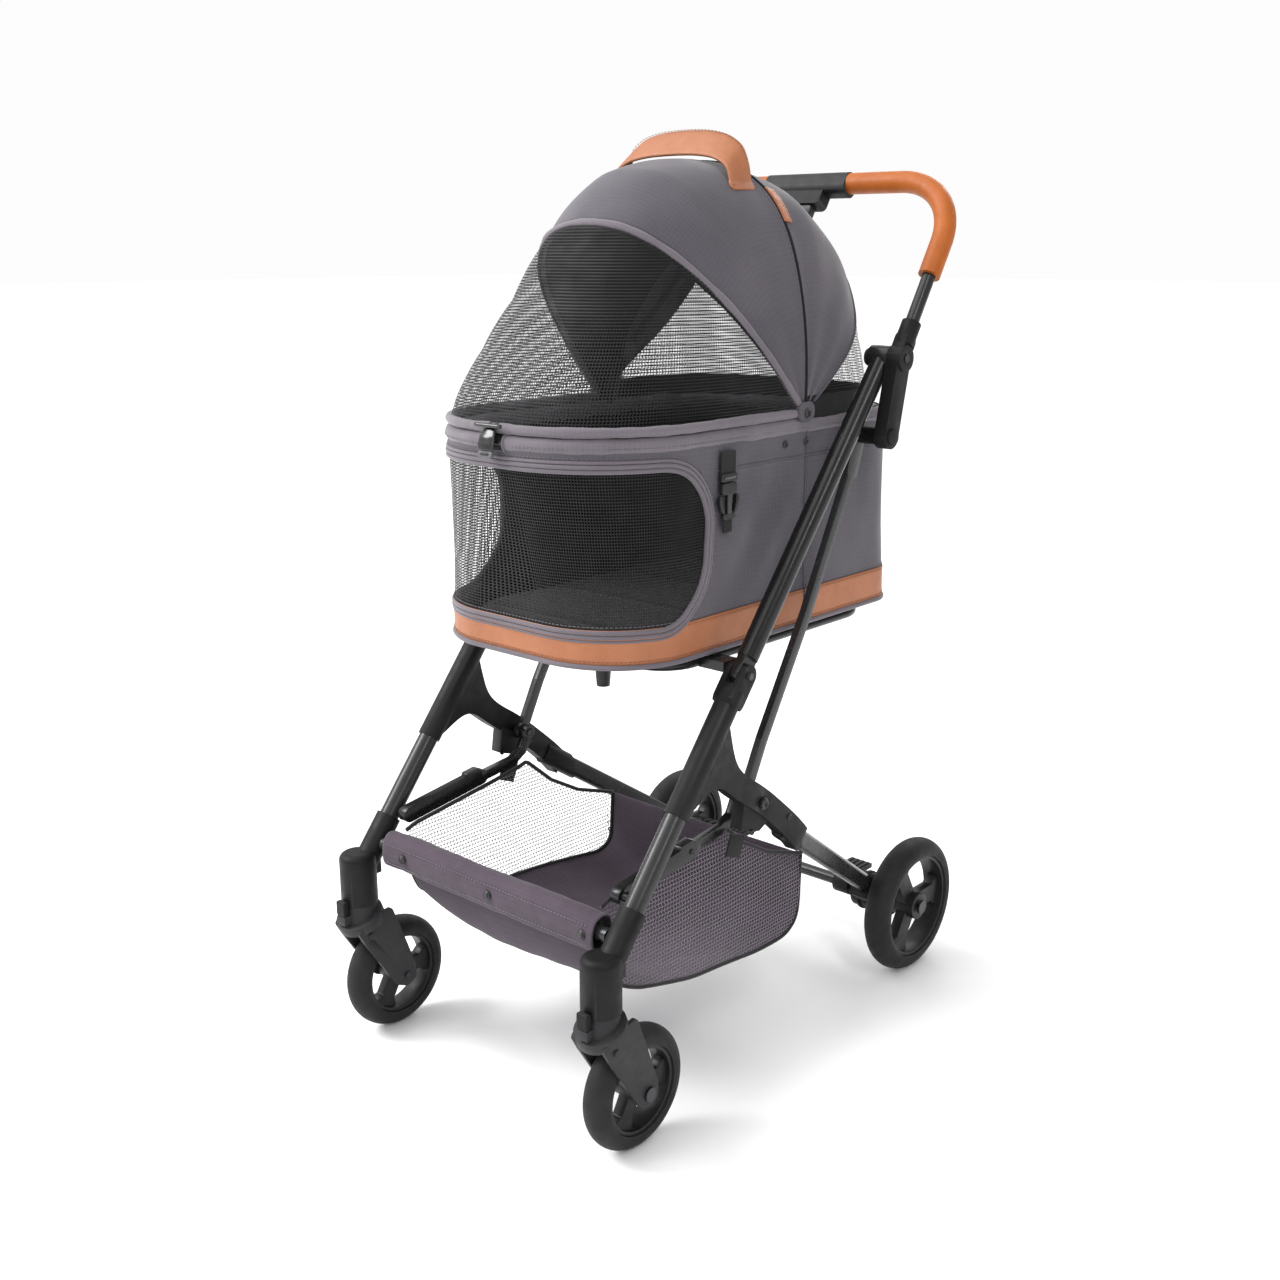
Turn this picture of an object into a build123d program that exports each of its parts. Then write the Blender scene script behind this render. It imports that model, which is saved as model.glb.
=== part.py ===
from build123d import *
import math
import os

# Pet stroller with a lift-off carrier. Millimetres, +Z up, the front faces -Y, symmetric about X = 0.
# Inside this file Y is measured from the front wheel axle; save() moves every part back by ORIGIN_Y,
# so the finished origin is on the ground at the centre of the footprint.

# Wheels and casters
FRONT_R = 70
REAR_R = 90
FRONT_TYRE_WIDTH = 33
REAR_TYRE_WIDTH = 36
WHEEL_X = 200
REAR_AXLE_Y = 552
STEM_Y = -48
STEM_R = 22
STEM_TOP = 243
STEM_SEAM = 179.5
LOCK_TAB_DEPTH = 8
AXLE_R = 4
RUNNING_GAP = 0.05
FORK_GAP = 19
FORK_PLATE = 5

# Frame tubes, seen from the side as (Y, Z)
FRAME_X = 200
TUBE_R = 12
TUBE_WALL = 1.6
FOOT = (-22, 244)
TOP = (437, 817)
CASTING_FOOT_Z = 358
CASTING_TOP_Z = 462
FOLD_Z = 492
FOLD_CHEEK_HALF = 13
FOLD_CHEEK_WIDTH = 25
FOLD_GAP_HALF = 6
COLLAR_HEIGHT = 14
FOLD_PIN_R = 4
LINK_PIVOT = (210, 335)
ARM_PIVOT = (417, 729)
LEG_START = (FRAME_X - 3, 262, 288)
LEG_END = (150, 524, 112)
LEG_WIDTH = 14
LEG_DEPTH = 24
CASTING_WALL = 2
LINK_PIN_R = 4
HUB_R = 24
HUB_INNER_X = 124
HUB_OUTER_X = 178
CROSSBAR_R = 8
CROSSBAR_Z = 248

# Handle, laid out in a plane through the arm pivot that leans back
HANDLE_LEAN = 57.5
HANDLE_X = 221
HANDLE_R = 8
HANDLE_REACH = 237
HANDLE_BEND = 85
GRIP_R = 13
GRIP_START = 108
GRIP_INNER_X = 62

# Carrier; the plans are (front Y, rear Y, half width, front corner radius, rear corner radius)
CARRIER_FLOOR = 510
CARRIER_RIM = 740
FLOOR_PLAN = (28, 551, 160, 105, 48)
RIM_PLAN = (8, 545, 161, 139, 56)
CARRIER_HALF = RIM_PLAN[2]
HOOD_PIVOT = (340, 758)
HOOD_PIN_R = 3
RIM_R = 4.5
FABRIC = 3
BOARD_DROP = 4
CRADLE_Z = 500
CRADLE_HALF = 150
CRADLE_R = 5.5

LENGTH_FRONT = STEM_Y - STEM_R - LOCK_TAB_DEPTH
LENGTH_REAR = REAR_AXLE_Y + REAR_R
ORIGIN_Y = (LENGTH_FRONT + LENGTH_REAR) / 2


def save(name, shape):
    shape = Pos(0, -ORIGIN_Y, 0) * shape
    shape.label = name
    export_step(shape, f"parts/{name}.step")


def save_pair(name, left):
    save(f"left_{name}", left)
    save(f"right_{name}", mirror(left, about=Plane.YZ))


def both_sides(left):
    return Compound(children=[left, mirror(left, about=Plane.YZ)])


def rod(start, end, radius):
    """Round bar between two points."""
    axis = Vector(*end) - Vector(*start)
    plane = Plane(origin=start, z_dir=axis)
    return plane * Cylinder(radius, axis.length, align=(Align.CENTER, Align.CENTER, Align.MIN))


def tube(start, end, radius, wall):
    return rod(start, end, radius) - rod(start, end, radius - wall)


def cross_pin(y, z, x0, x1, radius):
    return rod((x0, y, z), (x1, y, z), radius)


def side_plate(sketch, x0, x1):
    """Extrudes a sketch drawn as (Y, Z) along X from x0 to x1."""
    return extrude(Plane.YZ.offset(x0) * sketch, amount=x1 - x0)


def flat_bar(points, width, x0, x1):
    """Round-ended flat bar through (Y, Z) points."""
    pieces = [side_plate(Pos(*point) * Circle(width / 2), x0, x1) for point in points]
    for (y0, z0), (y1, z1) in zip(points, points[1:]):
        angle = math.degrees(math.atan2(z1 - z0, y1 - y0))
        length = math.hypot(y1 - y0, z1 - z0)
        middle = Pos((y0 + y1) / 2, (z0 + z1) / 2) * Rot(0, 0, angle)
        pieces.append(side_plate(middle * Rectangle(length, width), x0, x1))
    return pieces[0].fuse(*pieces[1:]).clean()


def on_tube(z):
    """Y of the main tube's centre line at a height."""
    return FOOT[0] + (z - FOOT[1]) * (TOP[0] - FOOT[0]) / (TOP[1] - FOOT[1])


def tube_point(z):
    return (FRAME_X, on_tube(z), z)


def leg_section(width, depth):
    axis = Vector(*LEG_END) - Vector(*LEG_START)
    side = Vector(1, 0, 0)
    across = axis.cross(side).normalized()
    plane = Plane(origin=LEG_START, x_dir=across, z_dir=axis)
    return extrude(plane * RectangleRounded(depth, width, width * 0.45), amount=axis.length)


# ---------------------------------------------------------------- wheels

def tyre_seat(radius, width):
    """Radius at which a tyre sits on its rim."""
    return radius - 0.58 * width


def tyre(radius, width, centre):
    """Round-section tyre; its section is an ellipse a little wider than tall."""
    half = width / 2
    height = half * 0.92
    section = Ellipse(height, half)
    ring = revolve(Plane.XZ * (Pos(radius - height, 0) * section), axis=Axis.Z)
    return Pos(*centre) * (Rot(0, 90, 0) * (ring - Cylinder(tyre_seat(radius, width), width)))


def wheel_rim(radius, width, centre):
    """Rim ring, hub and three broad spokes in one moulding."""
    seat = tyre_seat(radius, width) - RUNNING_GAP
    half = width / 2 - 3
    ring = Cylinder(seat, 2 * half) - Cylinder(seat - 5, 2 * half)
    hub = Cylinder(radius * 0.2, width - 1)
    reach = seat - 3
    blade = Pos(reach / 2, 0) * Rectangle(reach, radius * 0.27)
    flare = Pos(reach, 0) * Circle(radius * 0.24)
    spoke = extrude((blade + flare) & Circle(reach), amount=7, both=True)
    moulding = ring + hub
    for turn in range(3):
        moulding += Rot(0, 0, 90 + 120 * turn) * spoke
    moulding -= Cylinder(AXLE_R + RUNNING_GAP, 2 * width)
    return Pos(*centre) * (Rot(0, 90, 0) * moulding)


# ---------------------------------------------------------------- casters

def caster_socket():
    """Fixed stem housing with the sleeve that takes the foot of the front leg."""
    height = STEM_TOP - STEM_SEAM
    stem = Cylinder(STEM_R, height, align=(Align.CENTER, Align.CENTER, Align.MIN))
    stem = fillet(stem.edges().sort_by(Axis.Z)[-1], 9)
    stem = Pos(WHEEL_X, STEM_Y, STEM_SEAM) * stem
    sleeve = rod(tube_point(226), tube_point(274), TUBE_R + 3)
    bridge = Pos(WHEEL_X, STEM_Y / 2 - 12, 222) * Box(20, 30, 22)
    bore = rod(tube_point(240), tube_point(300), TUBE_R + RUNNING_GAP)
    spindle_bore = Pos(WHEEL_X, STEM_Y, STEM_SEAM) * Cylinder(6 + RUNNING_GAP, 72)
    return stem + sleeve + bridge - bore - spindle_bore


def caster_fork():
    """Swivelling hub, spindle, collar and the two fork plates that hold the wheel."""
    hub = Pos(WHEEL_X, STEM_Y, 165) * Cylinder(20, 28)
    lock_guide = Pos(WHEEL_X, STEM_Y - 21, 163) * Box(14, 16, 11)
    spindle = Pos(WHEEL_X, STEM_Y, 190) * Cylinder(6, 50)
    collar = Plane(origin=(WHEEL_X, STEM_Y, 158), z_dir=(0, -0.42, 1)) * Cylinder(29, 12)
    plate_x = FORK_GAP + FORK_PLATE / 2
    outline = Polyline((STEM_Y - 22, 150), (STEM_Y - 12, 132), (-16, 62), (0, 55), (14, 62), (14, 80),
                       (-8, 140), (STEM_Y + 29, 168), (STEM_Y - 10, 160), close=True)
    plate = fillet(make_face(outline).vertices(), 5)
    centres = [WHEEL_X + side * plate_x for side in (-1, 1)]
    plates = [side_plate(plate, x - FORK_PLATE / 2, x + FORK_PLATE / 2) for x in centres]
    room = cross_pin(0, FRONT_R, WHEEL_X - FORK_GAP, WHEEL_X + FORK_GAP, FRONT_R + 4)
    fork = hub + lock_guide + spindle + collar - room + plates[0] + plates[1]
    bolt = cross_pin(STEM_Y - 4, 142, WHEEL_X - FORK_GAP - 8, WHEEL_X + FORK_GAP + 8, 4)
    return fork + bolt - cross_pin(0, FRONT_R, WHEEL_X - 40, WHEEL_X + 40, AXLE_R)


def front_axle():
    reach = FORK_GAP + FORK_PLATE
    pin = cross_pin(0, FRONT_R, WHEEL_X - reach - 2, WHEEL_X + reach, AXLE_R)
    head = cross_pin(0, FRONT_R, WHEEL_X + reach, WHEEL_X + reach + 3, 8)
    return pin + head


def swivel_lock():
    """Tab on the front of the caster hub; pushed up, it stops the swivel."""
    tab = Pos(WHEEL_X, STEM_Y - STEM_R - LOCK_TAB_DEPTH / 2, 178) * Box(16, LOCK_TAB_DEPTH - 0.6, 18)
    return fillet(tab.edges(), 2)


# ---------------------------------------------------------------- base frame

def front_leg():
    return tube(tube_point(241), tube_point(CASTING_TOP_Z), TUBE_R, TUBE_WALL)


def side_casting():
    """Y-shaped casting: a sleeve on the front leg with a web that runs back into the rear leg."""
    sleeve = rod(tube_point(CASTING_FOOT_Z), tube_point(CASTING_TOP_Z), TUBE_R + CASTING_WALL)
    upper = Spline((on_tube(446) + 8, 446), (154, 420), (164, 393), (202, 361), (252, 322), (300, 277))
    lower = Spline((281, 254), (240, 295), (192, 333), (158, 357), (129, 375), (97, 366), (on_tube(350), 350))
    outline = [upper, Line(upper @ 1, lower @ 0), lower, Line(lower @ 1, upper @ 0)]
    web = side_plate(make_face(outline), FRAME_X - 9, FRAME_X + 9)
    socket = leg_section(LEG_WIDTH + 5, LEG_DEPTH + 5) & Pos(FRAME_X, 275, 280) * Box(60, 60, 80)
    lug_outline = Polyline((182, 345), (238, 312), (210, 300), (177, 311), close=True)
    lug = side_plate(make_face(lug_outline), FRAME_X - 11, FRAME_X + 5)
    shape = sleeve + web + socket + lug
    shape -= rod(tube_point(300), tube_point(500), TUBE_R + RUNNING_GAP)
    shape -= leg_section(LEG_WIDTH + 0.1, LEG_DEPTH + 0.1)
    return shape - cross_pin(*LINK_PIVOT, FRAME_X - 40, FRAME_X + 40, LINK_PIN_R + RUNNING_GAP)


def fold_collar():
    """Collar on top of the casting with two cheeks that hold the folding tube."""
    fold_y = on_tube(FOLD_Z)
    root_z = CASTING_TOP_Z + 6
    body = rod(tube_point(CASTING_TOP_Z), tube_point(CASTING_TOP_Z + COLLAR_HEIGHT), TUBE_R + CASTING_WALL)
    cheek = flat_bar([(fold_y, FOLD_Z), (on_tube(root_z), root_z)], FOLD_CHEEK_WIDTH,
                     FRAME_X - FOLD_CHEEK_HALF, FRAME_X + FOLD_CHEEK_HALF)
    cheek &= rod(tube_point(CASTING_TOP_Z), tube_point(FOLD_Z + 30), 40)
    above_collar = rod(tube_point(CASTING_TOP_Z + COLLAR_HEIGHT - 1), tube_point(FOLD_Z + 30), 60)
    slot = above_collar & Pos(FRAME_X, fold_y, FOLD_Z) * Box(2 * FOLD_GAP_HALF, 120, 120)
    return body + cheek - slot - cross_pin(fold_y, FOLD_Z, FRAME_X - 30, FRAME_X + 30, FOLD_PIN_R)


def rear_leg():
    return leg_section(LEG_WIDTH, LEG_DEPTH)


def rear_hub():
    """Ribbed housing round the rear axle at the foot of the rear leg."""
    barrel = cross_pin(REAR_AXLE_Y, REAR_R, HUB_INNER_X, HUB_OUTER_X, HUB_R)
    ribs = [cross_pin(REAR_AXLE_Y, REAR_R, x, x + 4, HUB_R + 2.5) for x in (134, 146, 158, 170)]
    shape = barrel.fuse(*ribs)
    shape += Pos(150, REAR_AXLE_Y - 22, REAR_R + 14) * (Rot(-36, 0, 0) * Box(24, 30, 34))
    shape -= leg_section(LEG_WIDTH + 0.1, LEG_DEPTH + 0.1)
    return shape - cross_pin(REAR_AXLE_Y, REAR_R, 100, 200, AXLE_R)


def rear_crossbar():
    ends = [(x, REAR_AXLE_Y, REAR_R) for x in (-HUB_INNER_X, HUB_INNER_X)]
    return tube(*ends, CROSSBAR_R, TUBE_WALL)


def rear_axle_pins():
    wheel_face = WHEEL_X + REAR_TYRE_WIDTH / 2 + 2
    pin = cross_pin(REAR_AXLE_Y, REAR_R, HUB_INNER_X + 4, wheel_face, AXLE_R)
    cap = cross_pin(REAR_AXLE_Y, REAR_R, wheel_face, wheel_face + 3, 9)
    return both_sides(pin + cap)


def frame_pins():
    """Fold pins through the collars and the bolts on which the rear links turn."""
    cheeks = (FRAME_X - FOLD_CHEEK_HALF, FRAME_X + FOLD_CHEEK_HALF + 3)
    fold = cross_pin(on_tube(FOLD_Z), FOLD_Z, *cheeks, FOLD_PIN_R)
    link = cross_pin(*LINK_PIVOT, RAIL_INNER_X - 1, FRAME_X + 12, LINK_PIN_R)
    link += cross_pin(*LINK_PIVOT, FRAME_X + 9.2, FRAME_X + 12, 7)
    return Compound(children=[fold, link, mirror(fold, about=Plane.YZ), mirror(link, about=Plane.YZ)])


def front_crossbar():
    reach = FRAME_X - TUBE_R - 3.2
    y = on_tube(CROSSBAR_Z)
    return tube((-reach, y, CROSSBAR_Z), (reach, y, CROSSBAR_Z), CROSSBAR_R, TUBE_WALL)


RAIL = [(10, 281), (127, 297), (180, 303), (199, 314), LINK_PIVOT]
RAIL_INNER_X = 168
RAIL_MIDDLE_X = 176
RAIL_OUTER_X = 180


def basket_rail():
    """Side rail of the basket: a channel from the front leg and a bar that bends up to the link's bolt."""
    bar = flat_bar(RAIL, 12, RAIL_INNER_X, RAIL_MIDDLE_X)
    channel = flat_bar(RAIL[:2], 19, RAIL_INNER_X, RAIL_OUTER_X)
    slider = flat_bar([(106, 304), (122, 306)], 7, RAIL_INNER_X, RAIL_OUTER_X)
    ear = cross_pin(*RAIL[0], RAIL_INNER_X, FRAME_X - TUBE_R - 0.4, 5)
    eye = cross_pin(*LINK_PIVOT, RAIL_INNER_X, RAIL_MIDDLE_X, 9)
    rail = bar + channel + slider + ear + eye
    return rail - cross_pin(*LINK_PIVOT, RAIL_INNER_X - 2, FRAME_X, LINK_PIN_R + RUNNING_GAP)


def basket():
    """Sling basket: an open-topped fabric trough with a sleeve round the front crossbar."""
    half = 160
    outline = Polyline((-4, 262), (20, 176), (52, 152), (150, 126), (268, 119), (340, 134), (350, 222),
                       (204, 306), (110, 290), close=True)
    front_wall = [(-4 + FABRIC, 340), (-4 + FABRIC, 262), (20 + FABRIC, 178), (52, 152 + FABRIC)]
    rear_wall = [(150, 126 + FABRIC), (268, 119 + FABRIC), (340 - FABRIC, 134 + FABRIC), (350 - FABRIC, 340)]
    cavity = Polyline(*front_wall, *rear_wall, close=True)
    trough = side_plate(make_face(outline), -half, half)
    trough -= side_plate(make_face(cavity), FABRIC - half, half - FABRIC)
    y = on_tube(CROSSBAR_Z)
    sleeve = Pos(0, y + 4, CROSSBAR_Z - 2) * Box(340, 34, 46)
    sleeve = fillet(sleeve.edges().filter_by(Axis.X), 12)
    bore = rod((-200, y, CROSSBAR_Z), (200, y, CROSSBAR_Z), CROSSBAR_R + 0.4)
    return trough + sleeve - bore


def cradle_frame():
    """Ring under the carrier, welded to blocks that bolt to the fold collars."""
    front, rear, corner = 112, 500, 48
    middle = (front + rear) / 2
    ring_path = Pos(0, middle, CRADLE_Z) * RectangleRounded(2 * CRADLE_HALF, rear - front, corner).wire()
    start = Plane(origin=(CRADLE_HALF, middle, CRADLE_Z), z_dir=(0, 1, 0))
    ring = sweep(start * Circle(CRADLE_R), path=ring_path)
    reach = FRAME_X - FOLD_CHEEK_HALF - CRADLE_HALF
    block = Pos(CRADLE_HALF + reach / 2, on_tube(FOLD_Z), CRADLE_Z) * Box(reach, 26, 11)
    return ring + block + mirror(block, about=Plane.YZ)


# ---------------------------------------------------------------- folding frame

def unit_along_tube():
    length = math.hypot(TOP[0] - FOOT[0], TOP[1] - FOOT[1])
    return ((TOP[0] - FOOT[0]) / length, (TOP[1] - FOOT[1]) / length)


def upper_tube():
    """Upper frame tube with an eye on the fold pin and a barrel for the handle arm at the top."""
    uy, uz = unit_along_tube()
    fold_y = on_tube(FOLD_Z)
    eye_half = FOLD_GAP_HALF - 0.4
    eye = flat_bar([(fold_y, FOLD_Z), (fold_y + 24 * uy, FOLD_Z + 24 * uz)], 22,
                   FRAME_X - eye_half, FRAME_X + eye_half)
    start = (FRAME_X, fold_y + 20 * uy, FOLD_Z + 20 * uz)
    bore_start = (FRAME_X, fold_y + 36 * uy, FOLD_Z + 36 * uz)
    bore_end = (FRAME_X, TOP[0] - 18 * uy, TOP[1] - 18 * uz)
    end = (FRAME_X, TOP[0] - 3 * uy, TOP[1] - 3 * uz)
    barrel = cross_pin(*TOP, FRAME_X - 14, FRAME_X + TUBE_R + 0.5, 14)
    shape = rod(start, end, TUBE_R) + barrel + eye
    shape -= rod(bore_start, bore_end, TUBE_R - TUBE_WALL)
    drain_hole = cross_pin(bore_start[1] + 12 * uy, bore_start[2] + 12 * uz, FRAME_X - 30, FRAME_X, 2)
    for hole in (drain_hole, cross_pin(*TOP, FRAME_X - 30, FRAME_X + 30, 5)):
        shape -= hole
    return shape - cross_pin(fold_y, FOLD_Z, FRAME_X - 30, FRAME_X + 30, FOLD_PIN_R + RUNNING_GAP)


def arm_pins():
    """Pins at the top of the upper tubes, on which the handle arms turn."""
    pin = cross_pin(*TOP, FRAME_X - 17, FRAME_X + 33, 5)
    head = cross_pin(*TOP, FRAME_X - 20, FRAME_X - 14, 10)
    return both_sides(pin + head)


LINK_X = (178, 186.5)


def rear_link():
    """Flat link from the casting up to the handle arm, a little bowed."""
    path = [LINK_PIVOT, (241, 396), (322, 531), (403, 688), ARM_PIVOT]
    bar = flat_bar(path, 13, *LINK_X)
    fitting = flat_bar(path[-2:], 22, *LINK_X)
    eye = cross_pin(*LINK_PIVOT, *LINK_X, 11)
    return bar + fitting + eye - cross_pin(*LINK_PIVOT, FRAME_X - 40, FRAME_X, LINK_PIN_R + RUNNING_GAP)


# ---------------------------------------------------------------- handle

HANDLE_PLANE = Plane(origin=(0, TOP[0], TOP[1]), x_dir=(1, 0, 0),
                     z_dir=(0, -math.sin(math.radians(HANDLE_LEAN)), math.cos(math.radians(HANDLE_LEAN))))
ARM_X = (FRAME_X + 13.2, FRAME_X + 29)


def handle_point(x, reach):
    return HANDLE_PLANE.from_local_coords(Vector(x, reach, 0))


def handle_tube():
    """U-shaped tube of the handle, one end in each arm socket."""
    line = FilletPolyline((HANDLE_X, 20.5, 0), (HANDLE_X, HANDLE_REACH, 0), (-HANDLE_X, HANDLE_REACH, 0),
                          (-HANDLE_X, 20.5, 0), radius=HANDLE_BEND)
    path = HANDLE_PLANE * line
    start = Plane(origin=path @ 0, z_dir=path % 0)
    return sweep(start * Circle(HANDLE_R), path=path) - sweep(start * Circle(HANDLE_R - TUBE_WALL), path=path)


def handle_arm():
    """Arm that joins the handle to the upper tube and the rear link."""
    arm = flat_bar([TOP, ARM_PIVOT], 28, *ARM_X)
    neck_end = handle_point(HANDLE_X, 22)
    neck = flat_bar([TOP, (neck_end.Y, neck_end.Z)], 22, *ARM_X)
    socket = rod(tuple(handle_point(HANDLE_X, 17)), tuple(handle_point(HANDLE_X, 46)), HANDLE_R + 3.5)
    boss = cross_pin(*ARM_PIVOT, LINK_X[1] + 1, ARM_X[1] + 3, 10)
    disc = cross_pin(*TOP, ARM_X[0], ARM_X[1] + 3, 15)
    arm = arm + neck + socket + boss + disc
    arm -= rod(tuple(handle_point(HANDLE_X, 20)), tuple(handle_point(HANDLE_X, 80)), HANDLE_R + RUNNING_GAP)
    return arm - cross_pin(*TOP, FRAME_X, FRAME_X + 33.2, 5 + RUNNING_GAP)


def grip():
    """Padded grip: up the handle, round the bend and along the bar to the button housing."""
    line = FilletPolyline((HANDLE_X, GRIP_START, 0), (HANDLE_X, HANDLE_REACH, 0),
                          (GRIP_INNER_X, HANDLE_REACH, 0), radius=HANDLE_BEND)
    path = HANDLE_PLANE * line
    start = Plane(origin=path @ 0, z_dir=path % 0)
    return sweep(start * Circle(GRIP_R), path=path) - sweep(start * Circle(HANDLE_R + RUNNING_GAP), path=path)


def button_housing():
    """Housing at the middle of the handle bar, hollow below for the fold trigger."""
    width = 2 * GRIP_INNER_X - 0.6
    block = Pos(0, HANDLE_REACH - 2, 0) * Box(width, 30, 27)
    block = fillet(block.edges().filter_by(Axis.X), 11)
    chin = Pos(0, HANDLE_REACH - 20, 0) * Box(62, 26, 20)
    chin = fillet(chin.edges().filter_by(Axis.Z), 6)
    pocket = Pos(0, HANDLE_REACH - 27, 0) * Box(41, 30, 13)
    shape = HANDLE_PLANE * (block + chin - pocket)
    bar_ends = [tuple(handle_point(x, HANDLE_REACH)) for x in (-100, 100)]
    return shape - rod(*bar_ends, HANDLE_R + RUNNING_GAP)


def fold_trigger():
    """Squeeze trigger that slides up into the housing to release the fold."""
    key = Pos(0, HANDLE_REACH - 36, 0) * Box(40, 26, 12)
    return HANDLE_PLANE * fillet(key.edges(), 2.5)


# ---------------------------------------------------------------- brake

def brake_pedal():
    """Foot lever over the rear hub, ribbed on its tread."""
    tread = Pos(100, REAR_AXLE_Y + 22, REAR_R + 17) * Box(34, 34, 6)
    ribs = [Pos(100 + x, REAR_AXLE_Y + 22, REAR_R + 20.5) * Box(3, 30, 2) for x in (-12, -4, 4, 12)]
    ring = cross_pin(REAR_AXLE_Y, REAR_R, 88, 112, 15)
    neck = Pos(100, REAR_AXLE_Y + 8, REAR_R + 9) * Box(20, 20, 14)
    pedal = tread.fuse(*ribs) + ring + neck
    return pedal - cross_pin(REAR_AXLE_Y, REAR_R, 60, 140, CROSSBAR_R + RUNNING_GAP)


# ---------------------------------------------------------------- carrier

def plan(front, rear, half, front_r, rear_r):
    """Outline of the carrier seen from above, rounder at the front."""
    side_front = (half, front + front_r)
    outline = [
        Line((half - front_r, front), (front_r - half, front)),
        RadiusArc((half - front_r, front), side_front, -front_r),
        Line(side_front, (half, rear - rear_r)),
        RadiusArc((half, rear - rear_r), (half - rear_r, rear), -rear_r),
        Line((half - rear_r, rear), (rear_r - half, rear)),
        RadiusArc((rear_r - half, rear), (-half, rear - rear_r), -rear_r),
        Line((-half, rear - rear_r), (-half, front + front_r)),
        RadiusArc((-half, front + front_r), (front_r - half, front), -front_r),
    ]
    return make_face(outline)


def inset(outline, by):
    front, rear, half, front_r, rear_r = outline
    return plan(front + by, rear - by, half - by, front_r - by, rear_r - by)


def carrier_body():
    """Open-topped fabric tub of the carrier."""
    wall = 4
    at_floor = Pos(0, 0, CARRIER_FLOOR)
    at_rim = Pos(0, 0, CARRIER_RIM)
    outer = loft([at_floor * plan(*FLOOR_PLAN), at_rim * plan(*RIM_PLAN)])
    inner = loft([at_floor * inset(FLOOR_PLAN, wall), at_rim * inset(RIM_PLAN, wall)])
    floor = extrude(at_floor * inset(FLOOR_PLAN, wall - 1), amount=wall)
    return outer - inner + (floor & outer)


def carrier_base():
    """Hard board under the tub with the locating peg."""
    bottom = CARRIER_FLOOR - BOARD_DROP
    board = extrude(Pos(0, 0, bottom) * inset(FLOOR_PLAN, 5), amount=BOARD_DROP - 0.3)
    peg = Cone(13, 8, 65, align=(Align.CENTER, Align.CENTER, Align.MIN))
    return board + Pos(0, 172, bottom) * (Rot(180, 0, 0) * peg)


def carrier_mat():
    mat = extrude(Pos(0, 0, CARRIER_FLOOR + 4.5) * inset(FLOOR_PLAN, 9), amount=20)
    return fillet(mat.edges().group_by(Axis.Z)[-1], 6)


def body_rim():
    """Stiff rim of the tub with the lugs and pins on which the hood turns."""
    height = 11
    outer = extrude(Pos(0, 0, CARRIER_RIM + 0.4) * inset(RIM_PLAN, -2), amount=height)
    inner = extrude(Pos(0, 0, CARRIER_RIM) * inset(RIM_PLAN, 6), amount=height + 1)
    lug = Pos(CARRIER_HALF - 14, HOOD_PIVOT[0], CARRIER_RIM + 12) * Box(5, 22, 24)
    pin = cross_pin(*HOOD_PIVOT, CARRIER_HALF - 15, CARRIER_HALF + 6.5, HOOD_PIN_R)
    head = cross_pin(*HOOD_PIVOT, CARRIER_HALF + 5, CARRIER_HALF + 6.5, 6)
    shape = outer - inner
    for fitting in (lug, pin, head):
        shape += fitting + mirror(fitting, about=Plane.YZ)
    return shape


def canopy_rim():
    """Front rim of the hood, a bow that lies on the tub's rim."""
    front, _, half, front_r, _ = RIM_PLAN
    y, z = HOOD_PIVOT
    line = FilletPolyline((half, y, z), (half, front, z), (-half, front, z), (-half, y, z), radius=front_r)
    bow = sweep(Plane(origin=line @ 0, z_dir=line % 0) * Circle(RIM_R), path=line)
    eye = cross_pin(y, z, half - 3, half + 3.5, 6)
    bow = bow + eye + mirror(eye, about=Plane.YZ)
    bore = cross_pin(y, z, -200, 200, HOOD_PIN_R + RUNNING_GAP)
    end_room = Pos(half - 9, y, z) * Box(11.4, 24, 24)
    return bow - bore - end_room - mirror(end_room, about=Plane.YZ)


BOW_ANGLE = 132
BOW_REACH = 277
BOW_POWER = 2.3
# (angle round the hood pivot, reach of the fabric, squareness of the arch)
HOOD_STATIONS = [(129.5, 285, 2.3), (114, 292, 2.4), (97, 282, 2.5), (76, 267, 2.9), (52, 237, 3.3),
                 (28, 206, 3.6), (8, 200, 4)]
WINDOW_STATIONS = [(134.5, 283, 2.3), (150, 281, 2.6), (164, 298, 3), (175.5, 320, 3.4)]


def hood_plane(angle):
    """Plane through the hood's pivot line; its Y direction points away from the pivot."""
    turn = math.radians(angle)
    return Plane(origin=(0, *HOOD_PIVOT), x_dir=(1, 0, 0), z_dir=(0, -math.sin(turn), math.cos(turn)))


def arch_point(share, half, reach, power):
    """Point of a rounded arch; share runs from 0 at one foot to 1 at the other."""
    turn = math.pi * share
    x = half * math.copysign(abs(math.cos(turn)) ** (2 / power), math.cos(turn))
    return (x, reach * math.sin(turn) ** (2 / power))


def arch_curve(half, reach, power, foot):
    count = 14
    first = 0.045
    shares = [first + (1 - 2 * first) * i / count for i in range(count + 1)]
    inner = [arch_point(share, half, reach, power) for share in shares]
    return Spline((half, foot), *inner, (-half, foot))


def arch_face(half, reach, power, foot, wall):
    outer = arch_curve(half, reach, power, foot)
    inner = arch_curve(half - wall, reach - wall, power, foot)
    return make_face([outer, Line(outer @ 1, inner @ 1), inner, Line(inner @ 0, outer @ 0)])


def hood_shell(stations, half, foot):
    return loft([hood_plane(angle) * arch_face(half, reach, power, foot, FABRIC)
                 for angle, reach, power in stations])


def canopy_main():
    return hood_shell(HOOD_STATIONS, CARRIER_HALF - 1, 16)


def canopy_window():
    return hood_shell(WINDOW_STATIONS, CARRIER_HALF - 12, 16)


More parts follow.
